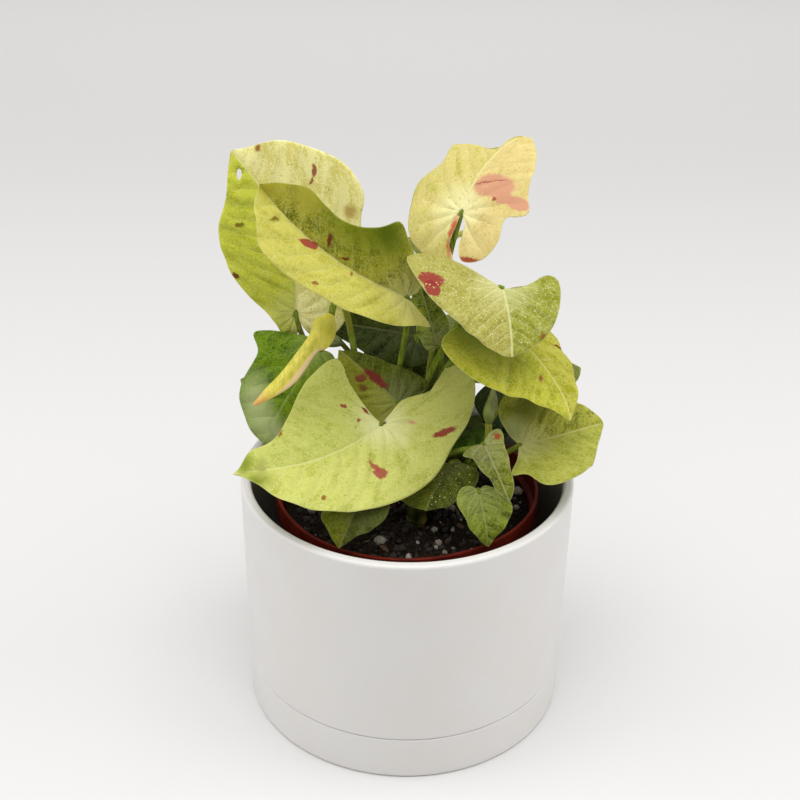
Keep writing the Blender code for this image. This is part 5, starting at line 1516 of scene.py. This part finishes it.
def leaf_material(name, look):
    """A leaf's skin, laid out on its flat shape in millimetres.

    Light and deep green lie in clouds that stretch along the side veins, broken into fine specks. Over them
    come a net of fine veins, the pale ground round the junction, the side veins, the midrib, dark dots, the
    marks and a thin margin. The underside is paler.
    """
    leaf = Finish(name)
    ease, times, plus, cloudy, mix = leaf.ease, leaf.times, leaf.plus, leaf.cloudy, leaf.mix
    flat = leaf.stored("leaf_flat")
    number, space, share = leaf.parts(leaf.stored("leaf_vein"))
    along, across, _ = leaf.parts(flat)
    away = leaf.count("ABSOLUTE", across)
    warp = leaf.vector("SUBTRACT", cloudy(flat, 0.5, 3, which="Color"), (0.5, 0.5, 0.5))
    warped = leaf.vector("ADD", flat, leaf.vector("SCALE", warp, scale=2.2))
    shaken = leaf.minus(plus(number, times(cloudy(flat, 0.16, 2), 0.5)), 0.25)

    half = times(ease(across, -0.6, 0.6), 7.0)
    broad = cloudy(leaf.whole(times(shaken, BLOTCH_ACROSS), times(away, BLOTCH_ALONG), half), 1.0, 4, 0.62)
    fleck = cloudy(warped, 1.5, 5, 0.75)
    dense = plus(broad, times(leaf.minus(fleck, 0.5), FLECK_SHARE))
    middle = 0.68 - 0.36 * look.blotch
    side = ease(across, -1.2, 1.2)
    light, deep, veins = [mix(side, right, left) for left, right in zip(look.left, look.right)]
    tone = mix(ease(dense, middle - 0.09, middle + 0.11), light, deep)
    specks = ease(cloudy(flat, 3.4, 2, 0.6), 0.60, 0.68)
    tone = mix(times(specks, 0.4 * look.specks), tone, SPECK_COLOR)
    pale = ease(cloudy(leaf.vector("ADD", flat, (31.0, 17.0, 5.0)), 2.1, 3, 0.65), 0.60, 0.70)
    tone = mix(times(pale, 0.7 * look.specks), tone, veins)

    net = ease(leaf.cells(warped, 0.42, "DISTANCE_TO_EDGE"), 0.015, 0.07, 1, 0)
    tone = mix(times(net, 0.3), tone, veins)
    centre = plus(leaf.vector("LENGTH", flat), times(broad, 8.0))
    heart = ease(centre, HEART_START, HEART_START + HEART_REACH, 1, 0)
    tone = mix(times(heart, look.heart), tone, HEART_COLOR)
    apart = times(leaf.count("PINGPONG", shaken, 0.5), space)
    line = times(ease(apart, 0.05, 0.34, 1, 0), ease(share, 0.55, 1.0, 1, 0.15))
    tone = mix(times(line, plus(times(heart, 0.5), 0.28)), tone, veins)
    rib = times(ease(away, 0.2, 0.55, 1, 0), ease(along, -2.0, 0.5))
    tone = mix(times(rib, 0.7), tone, veins)
    dots = times(ease(leaf.cells(warped, 0.42), 0.08, 0.14, 1, 0), ease(cloudy(flat, 0.22, 2), 0.44, 0.54))
    tone = mix(times(dots, look.specks), tone, DOT_COLOR)
    for mark in look.marks:
        size, middle_of = (mark.length, mark.width, 1), (mark.x, mark.y, 0)
        local = leaf.stretched(warped, size, mark.turn, middle_of, "TEXTURE")
        cover = ease(leaf.vector("LENGTH", local), 1 - mark.soft, 1 + mark.soft, MARK_COVER, 0)
        tone = mix(cover, tone, paint(*mark.color))

    tone = mix(ease(leaf.stored("leaf_rim", "Fac"), 0.05, 0.4, 0.35, 0), tone, veins)
    below = ease(leaf.stored("leaf_side", "Fac"), 0.4, 0.6, 1, 0)
    tone = mix(times(below, 0.3), tone, UNDERSIDE)
    leaf.set(Specular_IOR_Level=LEAF_GLOSS)
    leaf.glow()
    height = leaf.minus(plus(times(fleck, 0.5), times(net, -0.25)), times(line, 0.6))
    return leaf.done(tone, ease(broad, 0.3, 0.7, 0.42, 0.56), height, 0.45, 0.35)


def roll_material(name, light, deep, tip):
    """A rolled leaf: yellow-green, streaked, greener at its foot, with its own tip and a pale flap."""
    leaf = Finish(name)
    place = leaf.in_millimetres()
    share = leaf.stored("leaf_rim", "Fac")
    streak = leaf.cloudy(leaf.stretched(place, (0.9, 0.25, 0.25), 25), 0.8, 5, 0.7)
    tone = leaf.mix(leaf.ease(streak, 0.42, 0.62), light, deep)
    tone = leaf.mix(leaf.ease(share, 0.45, 0.0, 0, 0.6), tone, deep)
    ragged = leaf.plus(share, leaf.times(streak, 0.2))
    tone = leaf.mix(leaf.ease(ragged, 0.9, 1.08), tone, tip)
    tone = leaf.mix(leaf.ease(leaf.stored("leaf_side", "Fac"), 0.05, 0.5), tone, FLAP_COLOR)
    specks = leaf.ease(leaf.cloudy(place, 2.6, 2, 0.6), 0.61, 0.68)
    tone = leaf.mix(leaf.times(specks, 0.3), tone, SPECK_COLOR)
    leaf.glow()
    return leaf.done(tone, leaf.ease(streak, 0.3, 0.7, 0.38, 0.52), streak, 0.4, 0.4)


def floor_material(name, near):
    """A pale floor with painted shade and painted light: even round the pot, a little darker behind it, and
    brighter far away.
    """
    floor = Finish(name)
    depth = floor.parts(floor.in_millimetres())[1]
    # Painted shade behind the pot, then painted light far away
    tone = floor.mix(floor.ease(depth, FLOOR_START, FLOOR_DIP), near, FLOOR_SHADE_MIDDLE)
    tone = floor.mix(floor.ease(depth, FLOOR_DIP, FLOOR_FAR), tone, FLOOR_LIT_BEYOND)
    floor.set(Base_Color=tone, Roughness=0.75)
    return floor.material


def make_floor(near):
    """The floor: a profile along y, flat and then rising in a quarter circle, carried along x."""
    turns = np.linspace(0, 0.5 * math.pi, FLOOR_STEPS)
    flat = np.linspace(-FLOOR_END, FLOOR_END, FLOOR_STEPS)[:-1]
    along = np.concatenate([flat, FLOOR_END + SWEEP * np.sin(turns)])
    height = np.concatenate([0 * flat, SWEEP * (1 - np.cos(turns))])
    x, y = np.meshgrid(np.linspace(-FLOOR_WIDTH, FLOOR_WIDTH, 9), along)
    points = np.stack([x, y, np.repeat(height[:, None], x.shape[1], axis=1)], axis=2)
    index = np.arange(x.size).reshape(x.shape)
    corners = [index[:-1, :-1], index[:-1, 1:], index[1:, 1:], index[1:, :-1]]
    faces = np.stack(corners, axis=-1).reshape(-1, 4)
    mesh = bpy.data.meshes.new("floor")
    mesh.from_pydata((points.reshape(-1, 3) * MM).tolist(), [], faces.tolist())
    mesh.shade_smooth()
    mesh.materials.append(floor_material("pale_floor", near))
    floor = bpy.data.objects.new("floor", mesh)
    bpy.context.scene.collection.objects.link(floor)


def make_light(name, place, aim, size, power):
    """A square soft light at a place, turned to its aim, both in millimetres."""
    lamp = bpy.data.lights.new(name, "AREA")
    lamp.shape = "SQUARE"
    lamp.size = size * MM
    lamp.energy = power
    light = bpy.data.objects.new(name, lamp)
    light.location = Vector(place) * MM
    light.rotation_euler = (Vector(aim) - Vector(place)).to_track_quat("-Z", "Y").to_euler()
    bpy.context.scene.collection.objects.link(light)


def make_camera(scene):
    """The camera: CAMERA_TILT up from straight down, and turned a little about its own line."""
    lens = bpy.data.cameras.new("camera")
    lens.lens = CAMERA_LENS
    lens.sensor_width = CAMERA_SENSOR
    lens.clip_start = CAMERA_NEAR * MM
    lens.clip_end = CAMERA_FAR * MM
    camera = bpy.data.objects.new("camera", lens)
    tilt = Matrix.Rotation(math.radians(CAMERA_TILT), 4, "X")
    roll = Matrix.Rotation(math.radians(CAMERA_ROLL), 4, "Z")
    camera.matrix_world = Matrix.Translation(Vector(CAMERA_PLACE) * MM) @ tilt @ roll
    scene.collection.objects.link(camera)
    scene.camera = camera


def make_piece(name, parts, materials, replaced=(), values=None, second_from=None):
    """A mesh object that rides on the plant's body, of (points in millimetres, faces) parts.

    values are stored at its points, and second_from is the first face that has the second material.
    """
    old = bpy.data.objects.get(name)
    if old is not None:
        bpy.data.objects.remove(old, do_unlink=True)
    points, faces = joined(parts)
    mesh = bpy.data.meshes.new(name)
    mesh.from_pydata((points * MM).tolist(), [], [face for group in faces for face in group.tolist()])
    mesh.shade_smooth()
    for material in materials:
        mesh.materials.append(material)
    if second_from is not None:
        chosen = (np.arange(len(mesh.polygons)) >= second_from).astype(np.int32)
        mesh.polygons.foreach_set("material_index", chosen)
    for key, value in (values or {}).items():
        value = np.asarray(value, np.float32)
        kind, field_name = ("FLOAT_VECTOR", "vector") if value.ndim == 2 else ("FLOAT", "value")
        mesh.attributes.new(key, kind, "POINT").data.foreach_set(field_name, value.reshape(-1))
    mesh.update()
    if not mesh.polygons:
        raise RuntimeError(f"{name} has no faces")
    piece = bpy.data.objects.new(name, mesh)
    bpy.context.scene.collection.objects.link(piece)
    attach(piece, BODY)
    if replaced:
        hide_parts(*replaced)


def make_leaf(name, material, body, petiole, values):
    """A leaf's body and petiole as one piece that stands for its plain solid. The petiole's values are 0."""
    for key, value in values.items():
        values[key] = np.concatenate([value, np.zeros((len(petiole[0]), *value.shape[1:]))])
    materials = [material, stalk_material("petiole_green", PETIOLE_LIGHT, PETIOLE_DEEP)]
    body_faces = sum(len(group) for group in body[1])
    make_piece(f"{name}_fine", [body, petiole], materials, [name], values, body_faces)


def make_blade_leaves(names, settings):
    """Open leaves, each with both its sides' values stored: the top first, then the underside."""
    for name in names:
        leaf, look = GROWTHS[name], LOOKS[name]
        sheet = blade_sheet(leaf, look)
        blade = blade_skin(sheet, settings.thickness / MM, settings.quilt / MM)
        values = {f"leaf_{key}": np.concatenate([sheet[key], sheet[key]]) for key in ("flat", "vein", "rim")}
        values["leaf_side"] = np.repeat([1.0, 0.0], len(sheet["rim"]))
        skin_of = leaf_material(f"{name}_skin", look)
        make_leaf(name, skin_of, blade, petiole_skin(leaf, sheet["frame"]), values)


class SyngoniumPotSettings(bpy.types.PropertyGroup):
    """Sizes and colours of the planter, its saucer and the nursery pot."""

    glaze: bpy.props.FloatVectorProperty(
        name="Glaze", description="Colour of the planter and saucer",
        default=GLAZE_COLOR, subtype="COLOR", size=3,
    )
    plastic: bpy.props.FloatVectorProperty(
        name="Plastic", description="Colour of the nursery pot",
        default=PLASTIC_COLOR, subtype="COLOR", size=3,
    )
    rim_edge: bpy.props.FloatProperty(
        name="Rim edge", description="How far the planter's rim is rounded",
        default=CERAMIC_EDGE * MM, min=0.2 * MM, max=1.9 * MM, subtype="DISTANCE", unit="LENGTH",
    )


class SyngoniumSoilSettings(bpy.types.PropertyGroup):
    """What the pot is filled with."""

    earth: bpy.props.FloatVectorProperty(
        name="Soil", description="Colour of the moist soil",
        default=EARTH_COLOR, subtype="COLOR", size=3,
    )
    crumbs: bpy.props.IntProperty(
        name="Crumbs", description="How many crumbs lie on the soil",
        default=1100, min=0, max=4000,
    )
    perlite: bpy.props.IntProperty(
        name="Perlite", description="How many pale perlite grains lie on the soil",
        default=90, min=0, max=1000,
    )
    bark: bpy.props.IntProperty(
        name="Bark", description="How many chips of bark lie on the soil",
        default=110, min=0, max=1000,
    )


class SyngoniumLeafSettings(bpy.types.PropertyGroup):
    """Sizes and colours shared by all leaves."""

    thickness: bpy.props.FloatProperty(
        name="Blade thickness", description="Thickness of a blade away from its margin",
        default=FINE_THICKNESS * MM, min=0.2 * MM, max=0.7 * MM, subtype="DISTANCE", unit="LENGTH",
    )
    quilt: bpy.props.FloatProperty(
        name="Swell between veins", description="How far a large blade swells between two side veins",
        default=QUILT_HEIGHT * MM, min=0, max=1.0 * MM, subtype="DISTANCE", unit="LENGTH",
    )
    drops: bpy.props.FloatProperty(
        name="Droplets", description="Share of the water droplets on the leaves",
        default=1.0, min=0, max=1, subtype="FACTOR",
    )
    stem: bpy.props.FloatVectorProperty(
        name="Stem", description="Colour of the stems",
        default=STEM_LIGHT, subtype="COLOR", size=3,
    )


class SyngoniumStageSettings(bpy.types.PropertyGroup):
    """The floor, the light and the camera."""

    floor: bpy.props.FloatVectorProperty(
        name="Floor", description="Colour of the floor round the pot",
        default=FLOOR_NEAR, subtype="COLOR", size=3,
    )
    surround: bpy.props.FloatProperty(
        name="Surrounding light", description="Strength of the light from all round",
        default=AIR_LIGHT, min=0,
    )
    overhead: bpy.props.FloatProperty(
        name="Overhead light", description="Power of the wide light above",
        default=TOP_LIGHT, min=0, subtype="POWER", unit="POWER",
    )


class SYNGONIUM_OT_planter(bpy.types.Operator):
    """Make the white planter"""

    bl_idname = "syngonium.planter"
    bl_label = "Planter"

    def execute(self, context):
        pot = context.scene.syngonium_pot
        glaze = glaze_material("white_glaze", tuple(pot.glaze))
        make_piece("planter_fine", [planter_skin(pot.rim_edge / MM)], [glaze], ["planter"])
        return {"FINISHED"}


class SYNGONIUM_OT_saucer(bpy.types.Operator):
    """Make the saucer under the planter"""

    bl_idname = "syngonium.saucer"
    bl_label = "Saucer"

    def execute(self, context):
        pot = context.scene.syngonium_pot
        glaze = glaze_material("white_glaze", tuple(pot.glaze))
        make_piece("saucer_fine", [saucer_skin(pot.rim_edge / MM)], [glaze], ["saucer"])
        return {"FINISHED"}


class SYNGONIUM_OT_nursery_pot(bpy.types.Operator):
    """Make the thin red pot inside the planter"""

    bl_idname = "syngonium.nursery_pot"
    bl_label = "Nursery pot"

    def execute(self, context):
        plastic = plastic_material("brick_plastic", tuple(context.scene.syngonium_pot.plastic))
        make_piece("nursery_pot_fine", [nursery_skin()], [plastic], ["nursery_pot"])
        return {"FINISHED"}


class SYNGONIUM_OT_soil(bpy.types.Operator):
    """Make the soil in the nursery pot"""

    bl_idname = "syngonium.soil"
    bl_label = "Soil"

    def execute(self, context):
        earth = soil_material("moist_soil", tuple(context.scene.syngonium_soil.earth))
        make_piece("soil_fine", [soil_skin()], [earth], ["soil"])
        return {"FINISHED"}


class SYNGONIUM_OT_grains(bpy.types.Operator):
    """Scatter crumbs, perlite and bark over the soil"""

    bl_idname = "syngonium.grains"
    bl_label = "Crumbs and grains"

    def execute(self, context):
        soil = context.scene.syngonium_soil
        luck = np.random.default_rng(GRAIN_SEED)
        crumb = grain_material("crumb_brown", CRUMB_LIGHT, CRUMB_DARK, CRUMB_DULLNESS)
        perlite = grain_material("perlite_grey", PERLITE_LIGHT, PERLITE_COLOR, PERLITE_DULLNESS)
        bark = grain_material("bark_tan", BARK_LIGHT, BARK_DARK, BARK_DULLNESS)
        kinds = [
            ("crumbs", soil.crumbs, CRUMB_SIZES, crumb),
            ("perlite", soil.perlite, PERLITE_SIZES, perlite),
            ("bark", soil.bark, BARK_SIZES, bark),
        ]
        for name, count, (small, large, shape, rough), material in kinds:
            places = scatter(count, luck, SOIL_EDGE_RADIUS - large)
            size = small + (large - small) * luck.random(len(places)) ** GRAIN_BIAS
            sizes = size[:, None] * np.array(shape)
            places[:, 2] += GRAIN_LIFT * size
            make_piece(f"soil_{name}", [lumps(places, sizes, luck, rough)], [material])
        return {"FINISHED"}


class SYNGONIUM_OT_stems(bpy.types.Operator):
    """Make the four short stems"""

    bl_idname = "syngonium.stems"
    bl_label = "Stems"

    def execute(self, context):
        green = stalk_material("stem_green_skin", tuple(context.scene.syngonium_leaf.stem), STEM_DEEP)
        for name, (place, top) in STEMS.items():
            make_piece(f"{name}_fine", [stem_skin(place, top)], [green], [name])
        return {"FINISHED"}


class SYNGONIUM_OT_large_leaves(bpy.types.Operator):
    """Make the large leaves that the front shows"""

    bl_idname = "syngonium.large_leaves"
    bl_label = "Large leaves"

    def execute(self, context):
        make_blade_leaves(LARGE_LEAVES, context.scene.syngonium_leaf)
        return {"FINISHED"}


class SYNGONIUM_OT_small_leaves(bpy.types.Operator):
    """Make the small leaves between and under the large ones"""

    bl_idname = "syngonium.small_leaves"
    bl_label = "Small leaves"

    def execute(self, context):
        make_blade_leaves(SMALL_LEAVES, context.scene.syngonium_leaf)
        return {"FINISHED"}


class SYNGONIUM_OT_back_leaves(bpy.types.Operator):
    """Make the leaves at the back and sides"""

    bl_idname = "syngonium.back_leaves"
    bl_label = "Back leaves"

    def execute(self, context):
        make_blade_leaves(BACK_LEAVES, context.scene.syngonium_leaf)
        return {"FINISHED"}


class SYNGONIUM_OT_rolled_leaves(bpy.types.Operator):
    """Make the two young leaves that are still rolled"""

    bl_idname = "syngonium.rolled_leaves"
    bl_label = "Rolled leaves"

    def execute(self, context):
        for name in ROLLED_LEAVES:
            roll, (light, deep, _) = GROWTHS[name], LOOKS[name].left
            body, fin = roll_skin(roll)
            path, radii = petiole_line(roll.stalk, roll.points[0], 0)
            petiole = skin(tube_rings(path, radii, PETIOLE_SIDES))
            first = np.array(roll.points[0], float)
            reach = np.array(roll.points[-1], float) - first
            place = (body[0] - first) @ reach / (reach @ reach)
            wrap = roll_material(f"{name}_skin", light, deep, ROLL_TIP if name == ROLLED_LEAVES[0] else light)
            make_leaf(name, wrap, body, petiole, {"leaf_rim": place, "leaf_side": fin})
        return {"FINISHED"}


class SYNGONIUM_OT_droplets(bpy.types.Operator):
    """Set water droplets on the leaves that have them"""

    bl_idname = "syngonium.droplets"
    bl_label = "Droplets"

    def execute(self, context):
        share = context.scene.syngonium_leaf.drops
        water = drop_material("clear_water")
        for number, (name, look) in enumerate(LOOKS.items()):
            if look.drops is None or share == 0:
                continue
            luck = np.random.default_rng(DROP_SEED + number)
            drops = drop_skin(blade_sheet(GROWTHS[name], look), look, share, luck)
            make_piece(f"droplets_{name}", [drops], [water])
        return {"FINISHED"}


class SYNGONIUM_OT_stage(bpy.types.Operator):
    """Make the pale floor, the soft light and the camera"""

    bl_idname = "syngonium.stage"
    bl_label = "Stage"

    def execute(self, context):
        stage = context.scene.syngonium_stage
        make_floor(tuple(stage.floor))
        make_light("light_above", TOP_LIGHT_PLACE, TOP_LIGHT_AIM, TOP_LIGHT_SIZE, stage.overhead)
        make_light("light_left", LEFT_LIGHT_PLACE, SIDE_LIGHT_AIM, SIDE_LIGHT_SIZE, SIDE_LIGHT)
        make_light("light_right", RIGHT_LIGHT_PLACE, SIDE_LIGHT_AIM, SIDE_LIGHT_SIZE, SIDE_LIGHT)
        world = bpy.data.worlds.get("studio") or bpy.data.worlds.new("studio")
        world.use_nodes = True
        air = world.node_tree.nodes["Background"]
        air.inputs["Color"].default_value = (*AIR_COLOR, 1)
        air.inputs["Strength"].default_value = stage.surround
        context.scene.world = world
        context.scene.view_settings.view_transform = "Standard"
        make_camera(context.scene)
        return {"FINISHED"}


class SYNGONIUM_PT_panel(bpy.types.Panel):
    """The pieces of the plant, each with its button, and what can be changed"""

    bl_label = "Syngonium"
    bl_idname = "SYNGONIUM_PT_panel"
    bl_space_type = "VIEW_3D"
    bl_region_type = "UI"
    bl_category = "Syngonium"

    def draw(self, context):
        scene = context.scene
        for group in (scene.syngonium_pot, scene.syngonium_soil, scene.syngonium_leaf, scene.syngonium_stage):
            box = self.layout.box()
            for key in group.bl_rna.properties.keys():
                if key not in ("rna_type", "name"):
                    box.prop(group, key)
        for operator in OPERATORS:
            self.layout.operator(operator.bl_idname)


SETTINGS = {
    "syngonium_pot": SyngoniumPotSettings,
    "syngonium_soil": SyngoniumSoilSettings,
    "syngonium_leaf": SyngoniumLeafSettings,
    "syngonium_stage": SyngoniumStageSettings,
}
OPERATORS = [
    SYNGONIUM_OT_planter,
    SYNGONIUM_OT_saucer,
    SYNGONIUM_OT_nursery_pot,
    SYNGONIUM_OT_soil,
    SYNGONIUM_OT_grains,
    SYNGONIUM_OT_stems,
    SYNGONIUM_OT_large_leaves,
    SYNGONIUM_OT_small_leaves,
    SYNGONIUM_OT_back_leaves,
    SYNGONIUM_OT_rolled_leaves,
    SYNGONIUM_OT_droplets,
    SYNGONIUM_OT_stage,
]


def register():
    for group in (*SETTINGS.values(), *OPERATORS, SYNGONIUM_PT_panel):
        bpy.utils.register_class(group)
    for key, group in SETTINGS.items():
        setattr(bpy.types.Scene, key, bpy.props.PointerProperty(type=group))


def unregister():
    for key in SETTINGS:
        delattr(bpy.types.Scene, key)
    for group in (SYNGONIUM_PT_panel, *reversed(OPERATORS), *reversed(SETTINGS.values())):
        bpy.utils.unregister_class(group)


def main():
    register()
    for operator in OPERATORS:
        group, name = operator.bl_idname.split(".")
        getattr(getattr(bpy.ops, group), name)()


if __name__ == "__main__":
    main()
